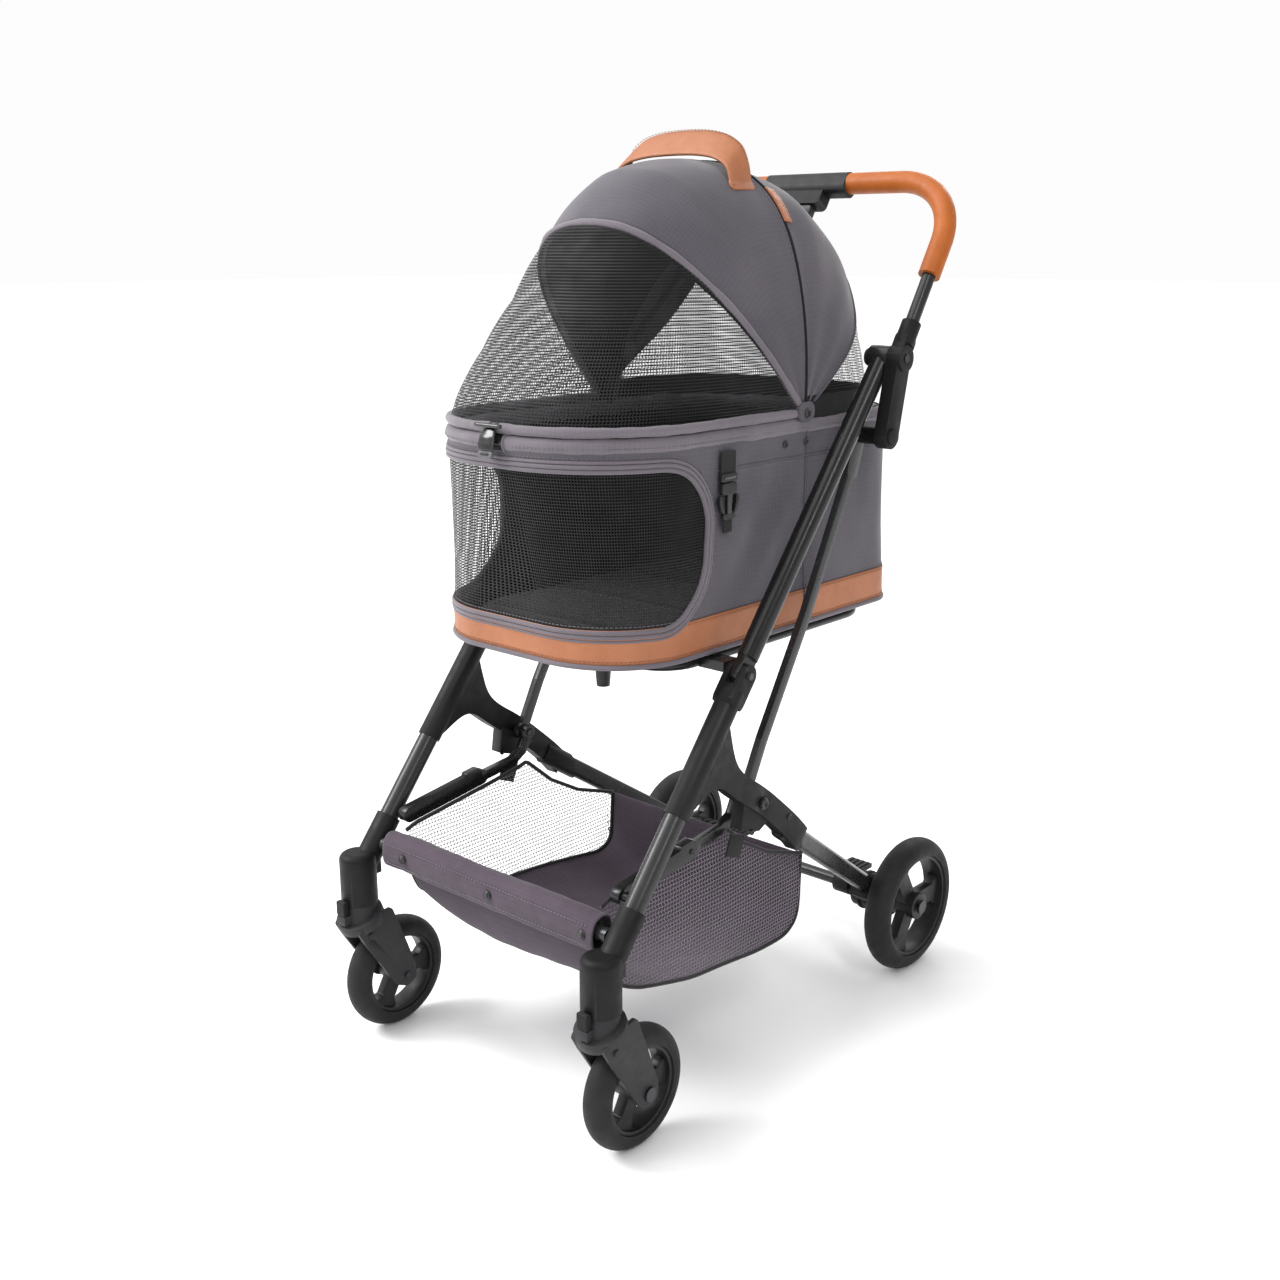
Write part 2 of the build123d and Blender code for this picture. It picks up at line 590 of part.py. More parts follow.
def canopy_front_bow():
    """Arched bow along the front edge of the hood."""
    half = CARRIER_HALF - 8
    curve = arch_curve(half, BOW_REACH, BOW_POWER, 4)
    plane = hood_plane(BOW_ANGLE)
    path = plane * curve
    bow = sweep(Plane(origin=path @ 0, z_dir=path % 0) * Circle(3), path=path)
    eye = cross_pin(*HOOD_PIVOT, half - 2.6, half + 2.6, 6)
    bow = bow + eye + mirror(eye, about=Plane.YZ)
    return bow - cross_pin(*HOOD_PIVOT, -200, 200, HOOD_PIN_R + RUNNING_GAP)


def carry_strap():
    """Carrying strap across the top of the hood, from side to side."""
    right_half = [(30, 1063), (62, 1056), (84, 1035), (90, 1018)]
    points = [(-x, z) for x, z in reversed(right_half)] + right_half
    y, width, thick = 304, 38, 4
    line = FilletPolyline(*[(x, y, z) for x, z in points], radius=10)
    start = Plane(origin=line @ 0, x_dir=(0, 1, 0), z_dir=line % 0)
    return sweep(start * Rectangle(width, thick), path=line)


LATCH_HINGE = (RIM_PLAN[0] - 8, HOOD_PIVOT[1] + 4)
BUCKLE_Y = 194


def latch_clip():
    """Front clip on a hinge pin; it hangs from the hood's rim and snaps under the tub's rim."""
    y, z = LATCH_HINGE
    plate = Pos(0, y, z - 12) * Box(30, 5, 26)
    return fillet(plate.edges(), 1.8) + cross_pin(y, z, -19, 19, 2)


def side_buckles():
    """Side-release buckles on the tub, one each side."""
    x, y = CARRIER_HALF + 5, BUCKLE_Y
    body = Pos(x, y, 680) * Box(8, 27, 42)
    loop = Pos(x, y, 711) * Box(5, 20, 22)
    return both_sides(fillet(body.edges(), 2) + loop)


def main():
    os.makedirs("parts", exist_ok=True)
    front_centre = (WHEEL_X, 0, FRONT_R)
    rear_centre = (WHEEL_X, REAR_AXLE_Y, REAR_R)
    save_pair("front_tyre", tyre(FRONT_R, FRONT_TYRE_WIDTH, front_centre))
    save_pair("front_wheel_rim", wheel_rim(FRONT_R, FRONT_TYRE_WIDTH, front_centre))
    save_pair("rear_tyre", tyre(REAR_R, REAR_TYRE_WIDTH, rear_centre))
    save_pair("rear_wheel_rim", wheel_rim(REAR_R, REAR_TYRE_WIDTH, rear_centre))
    pairs = {"caster_socket": caster_socket, "caster_fork": caster_fork, "front_axle": front_axle,
             "swivel_lock": swivel_lock, "front_leg": front_leg, "side_casting": side_casting,
             "fold_collar": fold_collar, "rear_leg": rear_leg, "rear_hub": rear_hub,
             "basket_rail": basket_rail, "upper_tube": upper_tube, "rear_link": rear_link,
             "handle_arm": handle_arm, "grip": grip, "brake_pedal": brake_pedal}
    for name, make in pairs.items():
        save_pair(name, make())
    singles = {"rear_crossbar": rear_crossbar, "rear_axle_pins": rear_axle_pins, "frame_pins": frame_pins,
               "front_crossbar": front_crossbar, "storage_basket": basket, "cradle_frame": cradle_frame,
               "arm_pins": arm_pins, "handle_tube": handle_tube, "button_housing": button_housing,
               "fold_trigger": fold_trigger, "carrier_body": carrier_body, "carrier_base": carrier_base,
               "carrier_mat": carrier_mat, "body_rim": body_rim, "canopy_rim": canopy_rim,
               "canopy_main": canopy_main, "canopy_window": canopy_window,
               "canopy_front_bow": canopy_front_bow, "carry_strap": carry_strap,
               "latch_clip": latch_clip, "side_buckles": side_buckles}
    for name, make in singles.items():
        save(name, make())


main()
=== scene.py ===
import math

import bmesh
import bpy
import numpy as np
from mathutils import Matrix, Vector


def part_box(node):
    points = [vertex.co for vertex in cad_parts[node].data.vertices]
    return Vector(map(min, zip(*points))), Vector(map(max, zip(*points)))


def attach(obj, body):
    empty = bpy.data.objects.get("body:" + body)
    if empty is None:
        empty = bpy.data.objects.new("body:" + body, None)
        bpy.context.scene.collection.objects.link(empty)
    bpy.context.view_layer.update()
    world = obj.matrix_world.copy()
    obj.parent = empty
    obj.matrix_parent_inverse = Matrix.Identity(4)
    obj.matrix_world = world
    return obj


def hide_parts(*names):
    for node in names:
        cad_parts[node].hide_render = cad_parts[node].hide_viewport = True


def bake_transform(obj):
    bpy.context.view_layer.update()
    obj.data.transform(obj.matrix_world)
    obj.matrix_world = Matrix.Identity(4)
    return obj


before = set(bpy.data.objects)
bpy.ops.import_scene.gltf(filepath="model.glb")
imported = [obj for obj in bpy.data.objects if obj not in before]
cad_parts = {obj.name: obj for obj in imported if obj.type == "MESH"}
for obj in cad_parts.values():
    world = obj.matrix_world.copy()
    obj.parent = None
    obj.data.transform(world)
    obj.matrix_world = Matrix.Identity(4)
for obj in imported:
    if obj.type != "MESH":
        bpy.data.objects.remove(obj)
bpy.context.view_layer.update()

# Lengths are millimetres measured from the front wheel axle, as in the CAD source, until
# row_frame() turns them into metres in the row frame. +Z is up and the front faces -Y.

AXLE_LOW, AXLE_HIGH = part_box("left_front_tyre")
AXLE_Y = (AXLE_LOW.y + AXLE_HIGH.y) / 2 * 1000
RANDOM = np.random.default_rng(11)
WAVES = RANDOM.normal(size=(14, 3))
PHASES = RANDOM.uniform(0, 2 * math.pi, 14)

# Carrier, as in the CAD
FLOOR_Z, RIM_Z = 510, 740
FLOOR_PLAN = (28, 551, 160, 105, 48)
RIM_PLAN = (8, 545, 161, 139, 56)
HALF_GIRTH = 775.3
PLAN_BREAKS = (0, 0.0284, 0.31, 0.7511, 0.8646, 1)
PIVOT_Y, PIVOT_Z = 340, 758
HALF_WIDTH = 160
BAND = (513, 552)
WINDOW_ARC, WINDOW_Z, WINDOW_HALF, WINDOW_CORNER = 267, 634, 87, 74
SIDE_SEAM_Y = 345
HEM_Z = 710
BOW_ANGLE = 132
SEAM_ANGLE = 90
HOOD_MIDDLE_Y = 330
# Angle round the hood pivot, reach of the fabric, squareness of the arch
HOOD = np.array([
    (0, 195, 4.0), (8, 198, 4.0), (28, 206, 3.6), (52, 237, 3.3), (76, 267, 2.9), (90, 277, 2.6),
    (97, 282, 2.5), (114, 292, 2.4), (132, 284, 2.3), (150, 277, 2.6), (164, 292, 3.0), (175.5, 319, 3.3),
    (181, 329, 3.4),
])


def mix(low, high, share):
    return low + (high - low) * share


def add_object(name, data):
    obj = bpy.data.objects.new(name, data)
    bpy.context.scene.collection.objects.link(obj)
    return obj


def row_frame(points):
    return (np.asarray(points, float) + (0, AXLE_Y, 0)) / 1000


def ripple(points, size):
    """Smooth wandering value, mostly between -1 and 1, with features about that size."""
    points = np.asarray(points, float)
    phase = points @ (WAVES.T * 3.0 / size) + PHASES
    return np.sin(phase).sum(-1) / math.sqrt(len(PHASES) / 2) / 1.6


# ---------------------------------------------------------------- materials

def nodes_of(name):
    material = bpy.data.materials.new(name)
    material.use_nodes = True
    return material, material.node_tree, material.node_tree.nodes["Principled BSDF"]


def add_node(tree, kind, **inputs):
    """New shader node; inputs are named with _ for a space, as a value or as a socket to link."""
    node = tree.nodes.new("ShaderNode" + kind)
    for name, value in inputs.items():
        socket = node.inputs[name.replace("_", " ")]
        if isinstance(value, bpy.types.NodeSocket):
            tree.links.new(value, socket)
        else:
            socket.default_value = value
    return node


def coordinates(tree, source):
    return add_node(tree, "TexCoord").outputs[source]


def noise(tree, size, detail=3.0, stretch=(1, 1, 1)):
    """Noise whose features are about that many millimetres."""
    mapping = add_node(tree, "Mapping", Scale=stretch, Vector=coordinates(tree, "Object"))
    texture = add_node(tree, "TexNoise", Scale=1000 / size, Detail=detail, Vector=mapping.outputs["Vector"])
    return texture.outputs["Fac"]


def bands(tree, pitch, direction):
    wave = add_node(tree, "TexWave", Scale=1000 / pitch / 20, Distortion=0.4, Detail_Scale=2,
                    Vector=coordinates(tree, "UV"))
    wave.bands_direction = direction
    return wave.outputs["Fac"]


def ramp(tree, source, low, high):
    """Maps 0..1 to low..high."""
    return add_node(tree, "MapRange", From_Min=0.3, From_Max=0.7, To_Min=low, To_Max=high,
                    Value=source).outputs["Result"]


def tint(tree, source, dark, light):
    node = tree.nodes.new("ShaderNodeMix")
    node.data_type = "RGBA"
    node.inputs["A"].default_value = (*dark, 1)
    node.inputs["B"].default_value = (*light, 1)
    tree.links.new(ramp(tree, source, 0, 1), node.inputs["Factor"])
    return node.outputs["Result"]


def worn_edges(tree, colour, amount):
    """Lightens the colour a little on sharp edges."""
    geometry = add_node(tree, "NewGeometry")
    edge = add_node(tree, "MapRange", From_Min=0.53, From_Max=0.62, To_Max=amount,
                    Value=geometry.outputs["Pointiness"])
    node = tree.nodes.new("ShaderNodeMix")
    node.data_type = "RGBA"
    node.inputs["B"].default_value = (0.16, 0.16, 0.17, 1)
    tree.links.new(edge.outputs["Result"], node.inputs["Factor"])
    tree.links.new(colour, node.inputs["A"])
    return node.outputs["Result"]


def total(tree, heights):
    """Adds (value, weight) pairs."""
    value = None
    for source, weight in heights:
        node = tree.nodes.new("ShaderNodeMath")
        node.operation = "MULTIPLY_ADD"
        node.inputs[1].default_value = weight
        node.inputs[2].default_value = 0
        tree.links.new(source, node.inputs[0])
        if value is not None:
            tree.links.new(value, node.inputs[2])
        value = node.outputs[0]
    return value


def emboss(tree, shader, heights, strength):
    """Bump from (value, height in millimetres) pairs."""
    bump = add_node(tree, "Bump", Strength=strength, Distance=0.001, Height=total(tree, heights))
    tree.links.new(bump.outputs["Normal"], shader.inputs["Normal"])


def finish(tree, shader, colour, gloss_size, rough, specular):
    """Colour and uneven gloss."""
    tree.links.new(colour, shader.inputs["Base Color"])
    tree.links.new(ramp(tree, noise(tree, gloss_size), *rough), shader.inputs["Roughness"])
    shader.inputs["Specular IOR Level"].default_value = specular


def hard(name, dark, light, rough, grain, grain_height, wear=0.25, specular=0.5, metallic=0.0):
    """Moulded plastic, rubber or painted metal: fine grain, uneven gloss and lighter edges."""
    material, tree, shader = nodes_of(name)
    colour = worn_edges(tree, tint(tree, noise(tree, 40), dark, light), wear)
    finish(tree, shader, colour, 14, rough, specular)
    shader.inputs["Metallic"].default_value = metallic
    emboss(tree, shader, [(noise(tree, grain, 2), grain_height)], 0.8)
    return material


def woven(name, dark, light, pitch, height, rough=(0.82, 0.95), sheen=0.25):
    """Woven cloth: threads both ways, slubs and a soft sheen."""
    material, tree, shader = nodes_of(name)
    threads = total(tree, [(bands(tree, pitch, "X"), 0.5), (bands(tree, pitch, "Y"), 0.5)])
    patches, slubs = noise(tree, 90, 4), noise(tree, 1.6, 2, (1, 1, 0.35))
    heather = total(tree, [(patches, 0.6), (slubs, 0.25), (threads, 0.15)])
    finish(tree, shader, tint(tree, heather, dark, light), 25, rough, 0.3)
    shader.inputs["Sheen Weight"].default_value = sheen
    shader.inputs["Sheen Roughness"].default_value = 0.45
    emboss(tree, shader, [(threads, height), (noise(tree, 5, 3), 0.12), (noise(tree, 45, 2), 0.5)], 0.9)
    return material


def leather(name, dark, light, rough=(0.42, 0.58), specular=0.4):
    """Smooth grained leather with pores and darker creases."""
    material, tree, shader = nodes_of(name)
    cells = add_node(tree, "TexVoronoi", Scale=1000 / 1.5, Vector=coordinates(tree, "Object"))
    pores = cells.outputs["Distance"]
    mottle = total(tree, [(noise(tree, 35, 4), 0.7), (noise(tree, 3, 3), 0.2), (pores, 0.2)])
    finish(tree, shader, tint(tree, mottle, dark, light), 9, rough, specular)
    emboss(tree, shader, [(pores, 0.18), (noise(tree, 0.8, 2), 0.05), (noise(tree, 22, 2), 0.3)], 0.8)
    return material


def black(level):
    """Near-black with a trace of blue."""
    return level, level, level + 0.0005


M_FRAME = hard("satin_black_frame", black(0.007), black(0.011), (0.2, 0.3), 0.7, 0.02, 0.12, 0.32)
M_CAST = hard("charcoal_casting", black(0.006), black(0.010), (0.46, 0.6), 0.6, 0.07, 0.15, 0.18)
M_PLASTIC = hard("black_plastic", black(0.008), black(0.013), (0.3, 0.45), 0.5, 0.04, 0.3, 0.35)
M_GLOSS = hard("glossy_clip_plastic", (0.009, 0.009, 0.010), (0.014, 0.014, 0.0155), (0.16, 0.26), 0.5,
               0.02, 0.3)
# Painted highlight: the clip lip is black plastic, given a light grey colour that stands in for its glossy
# reflection.
M_LIP_PAINTED_HIGHLIGHT = hard("clip_lip_painted_highlight", (0.07, 0.07, 0.073), (0.11, 0.11, 0.115), (0.3, 0.42), 0.5, 0.02, 0.2)
M_RUBBER = hard("tyre_rubber", black(0.010), black(0.016), (0.55, 0.72), 0.9, 0.08, 0.2, 0.25)
M_WHEEL = hard("wheel_plastic", black(0.008), black(0.012), (0.36, 0.5), 0.6, 0.05, 0.25, 0.3)
M_STEEL = hard("bolt_steel", (0.03, 0.03, 0.033), (0.05, 0.05, 0.053), (0.28, 0.42), 0.5, 0.02, 0.3, 0.5, 0.9)
M_CLOTH = woven("grey_mauve_cloth", (0.066, 0.060, 0.073), (0.096, 0.087, 0.102), 0.9, 0.07)
M_PIPING = woven("mauve_piping", (0.115, 0.099, 0.118), (0.155, 0.136, 0.157), 0.8, 0.06, (0.7, 0.85), 0.35)
M_LINING = woven("black_lining", black(0.006), black(0.011), 0.8, 0.05, (0.85, 0.95), 0.05)
M_NET = woven("black_net", black(0.007), black(0.012), 0.6, 0.05, (0.6, 0.8), 0.05)
M_WEBBING = woven("black_webbing", black(0.007), black(0.016), 1.4, 0.25, (0.7, 0.85), 0.1)
M_BASKET = woven("purple_grey_cloth", (0.056, 0.042, 0.057), (0.080, 0.061, 0.081), 0.9, 0.08, sheen=0.12)
M_SHEER = woven("purple_grey_net", (0.15, 0.128, 0.155), (0.21, 0.185, 0.215), 0.6, 0.05)
M_TRIM = woven("dark_trim", (0.018, 0.015, 0.018), (0.028, 0.024, 0.028), 0.8, 0.1)
M_MAT = woven("dark_mat_cloth", (0.015, 0.0145, 0.016), (0.027, 0.026, 0.028), 1.1, 0.12)
M_TAN = leather("tan_band_leather", (0.30, 0.105, 0.043), (0.385, 0.145, 0.064))
M_GRIP = leather("grip_leather", (0.32, 0.078, 0.010), (0.41, 0.108, 0.016), (0.4, 0.54), 0.28)
M_THREAD = woven("stitch_thread", (0.12, 0.108, 0.125), (0.17, 0.155, 0.175), 0.4, 0.1)
M_TAN_THREAD = woven("tan_thread", (0.22, 0.08, 0.035), (0.30, 0.115, 0.05), 0.4, 0.1)

CAD_FINISH = {
    M_RUBBER: ["front_tyre", "rear_tyre"],
    M_WHEEL: ["front_wheel_rim", "rear_wheel_rim"],
    M_CAST: ["caster_socket", "caster_fork", "side_casting", "fold_collar", "rear_hub", "handle_arm",
             "brake_pedal", "button_housing", "swivel_lock"],
    M_FRAME: ["front_leg", "rear_leg", "upper_tube", "rear_link", "handle_tube", "front_crossbar",
              "rear_crossbar", "cradle_frame", "basket_rail"],
    M_STEEL: ["front_axle", "rear_axle_pins", "frame_pins", "arm_pins"],
    M_GRIP: ["grip"],
    M_PLASTIC: ["fold_trigger", "carrier_base"],
}
BEVELLED = ("caster_socket", "caster_fork", "side_casting", "fold_collar", "rear_hub", "handle_arm",
            "brake_pedal", "basket_rail", "rear_link", "fold_trigger", "front_wheel_rim",
            "rear_wheel_rim", "upper_tube", "carrier_base")
BEVEL_WIDTH = 0.0009
SHARP_ANGLE, SPLIT_ANGLE = math.radians(32), math.radians(34)


def plain_name(node):
    for side in ("left_", "right_"):
        node = node.removeprefix(side)
    return node


def finish_cad():
    """Gives each CAD node its material, and softens the edges of the moulded ones."""
    finishes = {name: material for material, names in CAD_FINISH.items() for name in names}
    for node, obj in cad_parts.items():
        material = finishes.get(plain_name(node))
        if material is None:
            continue
        obj.data.materials.clear()
        obj.data.materials.append(material)
        if plain_name(node) in BEVELLED:
            weld = obj.modifiers.new("weld", "WELD")
            weld.merge_threshold = 0.00002
            bevel = obj.modifiers.new("bevel", "BEVEL")
            bevel.width = BEVEL_WIDTH
            bevel.segments = 2
            bevel.limit_method = "ANGLE"
            bevel.angle_limit = SHARP_ANGLE
        for polygon in obj.data.polygons:
            polygon.use_smooth = True
        smooth = obj.modifiers.new("split", "EDGE_SPLIT")
        smooth.split_angle = SPLIT_ANGLE


# ---------------------------------------------------------------- mesh helpers

def piece(name, points, faces, material, uv=None, smooth=True):
    mesh = bpy.data.meshes.new(name)
    mesh.from_pydata(row_frame(points).tolist(), [], [tuple(face) for face in faces])
    if smooth:
        mesh.polygons.foreach_set("use_smooth", [True] * len(mesh.polygons))
    if uv is not None:
        layer = mesh.uv_layers.new(name="UVMap")
        loops = np.zeros(len(mesh.loops), int)
        mesh.loops.foreach_get("vertex_index", loops)
        layer.data.foreach_set("uv", (np.asarray(uv, float)[loops] / 1000).ravel())
    mesh.materials.append(material)
    mesh.update()
    return add_object(name, mesh)


def dress(obj, replaced):
    if replaced:
        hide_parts(*replaced)
    return obj


def ride(obj, body, slot, *replaced):
    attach(obj, body)
    return dress(obj, replaced)


def ring_faces(rings, sides, flip=False):
    """Faces between rings of points."""
    faces = []
    for ring in range(rings - 1):
        for i in range(sides):
            a, b = ring * sides + i, ring * sides + (i + 1) % sides
            quad = (a, b, b + sides, a + sides)
            faces.append(quad[::-1] if flip else quad)
    return faces


def cells_of(rows, columns):
    corner = np.arange(rows * (columns + 1)).reshape(rows, columns + 1)[:, :columns]
    return np.stack([corner, corner + 1, corner + columns + 2, corner + columns + 1], -1)


def compact(faces, *tables):
    """Drops the points that no face uses."""
    used, faces = np.unique(faces, return_inverse=True)
    return faces.reshape(-1, 4), [table[used] for table in tables]


def kept_cells(grid, uv, keep, flip):
    """Faces, points and UVs of a grid of points (rows, columns, 3); keep None means every cell."""
    faces = cells_of(grid.shape[0] - 1, grid.shape[1] - 1)
    faces = faces.reshape(-1, 4) if keep is None else faces[keep]
    if flip:
        faces = faces[:, ::-1]
    faces, tables = compact(faces, grid.reshape(-1, 3), uv.reshape(-1, 2))
    return faces, *tables


def sheet(name, grid, uv, keep, material, flip=False):
    """Cloth from a grid of points; keep says which cells there are."""
    faces, points, uv = kept_cells(grid, uv, keep, flip)
    return piece(name, points, faces, material, uv)


NET_HOLE = 0.66
REAR_NET_HOLE = 0.78


def net(name, grid, uv, keep, material, shrink=NET_HOLE, flip=False):
    """Netting: each kept cell is four flat threads round a hole."""
    faces, points, uv = kept_cells(grid, uv, keep, flip)
    corners, corner_uv = points[faces], uv[faces]
    inner = mix(corners.mean(1, keepdims=True), corners, shrink).reshape(-1, 3)
    inner_uv = mix(corner_uv.mean(1, keepdims=True), corner_uv, shrink).reshape(-1, 2)
    inside = len(points) + np.arange(len(inner)).reshape(-1, 4)
    strips = []
    for i in range(4):
        j = (i + 1) % 4
        strips.append(np.stack([faces[:, i], faces[:, j], inside[:, j], inside[:, i]], -1))
    uv = np.vstack([uv, inner_uv])
    return piece(name, np.vstack([points, inner]), np.vstack(strips), material, uv, False)


def thicken(obj, thickness, inner=None, offset=-1.0):
    if inner is not None:
        obj.data.materials.append(inner)
    solid = obj.modifiers.new("thickness", "SOLIDIFY")
    solid.thickness = thickness / 1000
    solid.offset = offset
    if inner is not None:
        solid.material_offset = 1
        solid.material_offset_rim = 1
    return obj


def run_lengths(path):
    """Length from the first point to each point of a path."""
    return np.r_[0, np.cumsum(np.linalg.norm(np.diff(path, axis=0), axis=1))]


def relaxed(path, times):
    """Evens out a path between its fixed ends."""
    for _ in range(times):
        path[1:-1] = (path[:-2] + 2 * path[1:-1] + path[2:]) / 4
    return path


def resample(path, step, closed=False):
    path = np.asarray(path, float)
    if closed:
        path = np.vstack([path, path[:1]])
    lengths = run_lengths(path)
    count = max(2, int(round(lengths[-1] / step)) + 1)
    at = np.linspace(0, lengths[-1], count)
    fine = np.stack([np.interp(at, lengths, path[:, i]) for i in range(3)], -1)
    return fine[:-1] if closed else fine


def frames_along(path, closed):
    """Tangent and two steady side directions at each point of a path."""
    following = np.roll(path, -1, 0) - np.roll(path, 1, 0)
    if not closed:
        following[0] = path[1] - path[0]
        following[-1] = path[-1] - path[-2]
    tangents = following / np.linalg.norm(following, axis=1, keepdims=True)
    start = np.cross(tangents[0], (0.31, 0.17, 0.93))
    sides = [start / np.linalg.norm(start)]
    for tangent in tangents[1:]:
        side = sides[-1] - tangent * (sides[-1] @ tangent)
        sides.append(side / np.linalg.norm(side))
    sides = np.array(sides)
    return tangents, sides, np.cross(tangents, sides)


def tube_parts(path, radius, sides=10, closed=False, first=0):
    """Points and faces of a round tube along a path; radius may be one per point."""
    path = np.asarray(path, float)
    _, side, up = frames_along(path, closed)
    turns = np.linspace(0, 2 * math.pi, sides, endpoint=False)
    radius = np.broadcast_to(np.asarray(radius, float), (len(path),))[:, None, None]
    ring = np.cos(turns)[None, :, None] * side[:, None] + np.sin(turns)[None, :, None] * up[:, None]
    points = (path[:, None] + radius * ring).reshape(-1, 3)
    faces = []
    for i in range(len(path) if closed else len(path) - 1):
        a, b = first + i * sides, first + (i + 1) % len(path) * sides
        faces += [(a + j, a + (j + 1) % sides, b + (j + 1) % sides, b + j) for j in range(sides)]
    if not closed:
        last = first + (len(path) - 1) * sides
        faces.append(tuple(first + j for j in reversed(range(sides))))
        faces.append(tuple(last + j for j in range(sides)))
    return points, faces


def tubes(name, runs, material, sides=10, step=4):
    """One piece of several tubes; runs are (path, radius, closed)."""
    points, faces = [], []
    for path, radius, closed in runs:
        path = resample(path, step, closed)
        made, new_faces = tube_parts(path, radius, sides, closed, sum(map(len, points)))
        points.append(made)
        faces += new_faces
    return piece(name, np.vstack(points), faces, material)


def stitches(name, paths, material, length=3.2, gap=1.8, radius=0.42):
    """Rows of short raised stitches along each path."""
    runs = []
    for path in paths:
        fine = resample(path, length + gap)
        for here, there in zip(fine, fine[1:]):
            ends = [mix(here, there, share) for share in (0, length / (length + gap))]
            runs.append((ends, radius, False))
    return tubes(name, runs, material, sides=5, step=length / 2)


def merged(name, objects):
    """Joins finished objects into one piece."""
    bpy.ops.object.select_all(action="DESELECT")
    for obj in objects:
        obj.select_set(True)
    bpy.context.view_layer.objects.active = objects[0]
    bpy.ops.object.join()
    objects[0].name = name
    objects[0].data.name = name
    return objects[0]


def plate(name, outline, thickness, material, origin, across, along, bevel=0.8):
    """Rounded plate: a flat outline in (across, along) directions, with softened edges."""
    across, along = Vector(across).normalized(), Vector(along).normalized()
    normal = across.cross(along)
    mesh = bmesh.new()
    base = Vector(origin) - normal * thickness / 2
    ring = [mesh.verts.new(row_frame(base + across * a + along * b)) for a, b in outline]
    face = mesh.faces.new(ring)
    grown = bmesh.ops.extrude_face_region(mesh, geom=[face])
    verts = [item for item in grown["geom"] if isinstance(item, bmesh.types.BMVert)]
    bmesh.ops.translate(mesh, verts=verts, vec=normal * thickness / 1000)
    bmesh.ops.recalc_face_normals(mesh, faces=mesh.faces)
    rim = [edge for edge in mesh.edges if edge.calc_face_angle(0) > 0.4]
    bmesh.ops.bevel(mesh, geom=rim, offset=bevel / 1000, segments=3, affect="EDGES", profile=0.6)
    data = bpy.data.meshes.new(name)
    mesh.to_mesh(data)
    mesh.free()
    for polygon in data.polygons:
        polygon.use_smooth = True
    data.materials.append(material)
    return add_object(name, data)


def rounded(width, height, corner, steps=5):
    """Rounded rectangle outline, anticlockwise."""
    points = []
    for quarter, (sx, sy) in enumerate(((1, 1), (-1, 1), (-1, -1), (1, -1))):
        for i in range(steps + 1):
            turn = math.pi / 2 * (quarter + i / steps)
            x = sx * (width / 2 - corner) + corner * math.cos(turn)
            points.append((x, sy * (height / 2 - corner) + corner * math.sin(turn)))
    return points


def bolt_head(centre, radius, height, out):
    """Domed socket-head bolt facing along X; out is 1 or -1."""
    x, y, z = centre
    profile = [(radius, 0), (radius, height * 0.5), (radius * 0.82, height * 0.9), (radius * 0.5, height),
               (radius * 0.46, height * 0.4), (0.01, height * 0.4)]
    sides = 18
    points = []
    for r, h in profile:
        for i in range(sides):
            turn = 2 * math.pi * i / sides
            points.append((x + out * h, y + r * math.cos(turn), z + r * math.sin(turn)))
    return points, ring_faces(len(profile), sides, out < 0)


def bolt_heads(name, heads, material=M_STEEL):
    points, faces = [], []
    for head in heads:
        made, new = bolt_head(*head)
        faces += [tuple(i + len(points) for i in face) for face in new]
        points += made
    return piece(name, points, faces, material)


# ---------------------------------------------------------------- surfaces of the carrier

def plan_point(share, high):
    """Points of the carrier's outline.

    share runs -1..1 round from the front middle, high 0..1 from the floor to the rim."""
    share, high = np.broadcast_arrays(np.asarray(share, float), np.asarray(high, float))
    front, rear, half, front_r, rear_r = (mix(low, top, high) for low, top in zip(FLOOR_PLAN, RIM_PLAN))
    s = np.abs(share)
    part = [np.clip((s - a) / (b - a), 0, 1) for a, b in zip(PLAN_BREAKS, PLAN_BREAKS[1:])]
    turn_front, turn_rear = part[1] * math.pi / 2, part[3] * math.pi / 2
    x = (half - front_r) * part[0] + front_r * np.sin(turn_front)
    y = front + front_r * (1 - np.cos(turn_front)) + (rear - rear_r - front - front_r) * part[2]
    x = x - rear_r * (1 - np.cos(turn_rear)) - (half - rear_r) * part[4]
    y = y + rear_r * np.sin(turn_rear)
    return x * np.sign(share + 1e-12), y


def plan_normal(share, high):
    step = 0.003
    x0, y0 = plan_point(share - step, high)
    x1, y1 = plan_point(share + step, high)
    length = np.hypot(x1 - x0, y1 - y0) + 1e-9
    return (y1 - y0) / length, -(x1 - x0) / length


def tub_sag(share, z):
    """How far the cloth stands out from the plain outline."""
    high = np.clip((z - FLOOR_Z) / (RIM_Z - FLOOR_Z), 0, 1)
    arc = share * HALF_GIRTH
    flat = np.stack([arc, z * 0.35, arc * 0], -1)
    calm = np.clip((high - 0.2) / 0.2, 0, 1) * np.clip((1.02 - high) / 0.12, 0, 1)
    across = np.abs(arc)
    beyond = np.clip((across - 255) / 50, 0.15, 1)
    folds = 1.5 * ripple(flat, 95) + 0.7 * ripple(flat + 400, 38)
    pulled = np.stack([0.88 * across - 0.48 * z, 0.16 * across + 0.26 * z, arc * 0], -1)
    drag = 2.6 * ripple(pulled, 52) * np.exp(-((across - 345) / 70) ** 2)
    seam = -1.6 * np.exp(-((across - side_seam_share() * HALF_GIRTH) / 9) ** 2)
    return calm * (beyond * folds + drag + seam - 1.2 * np.sin(math.pi * high))


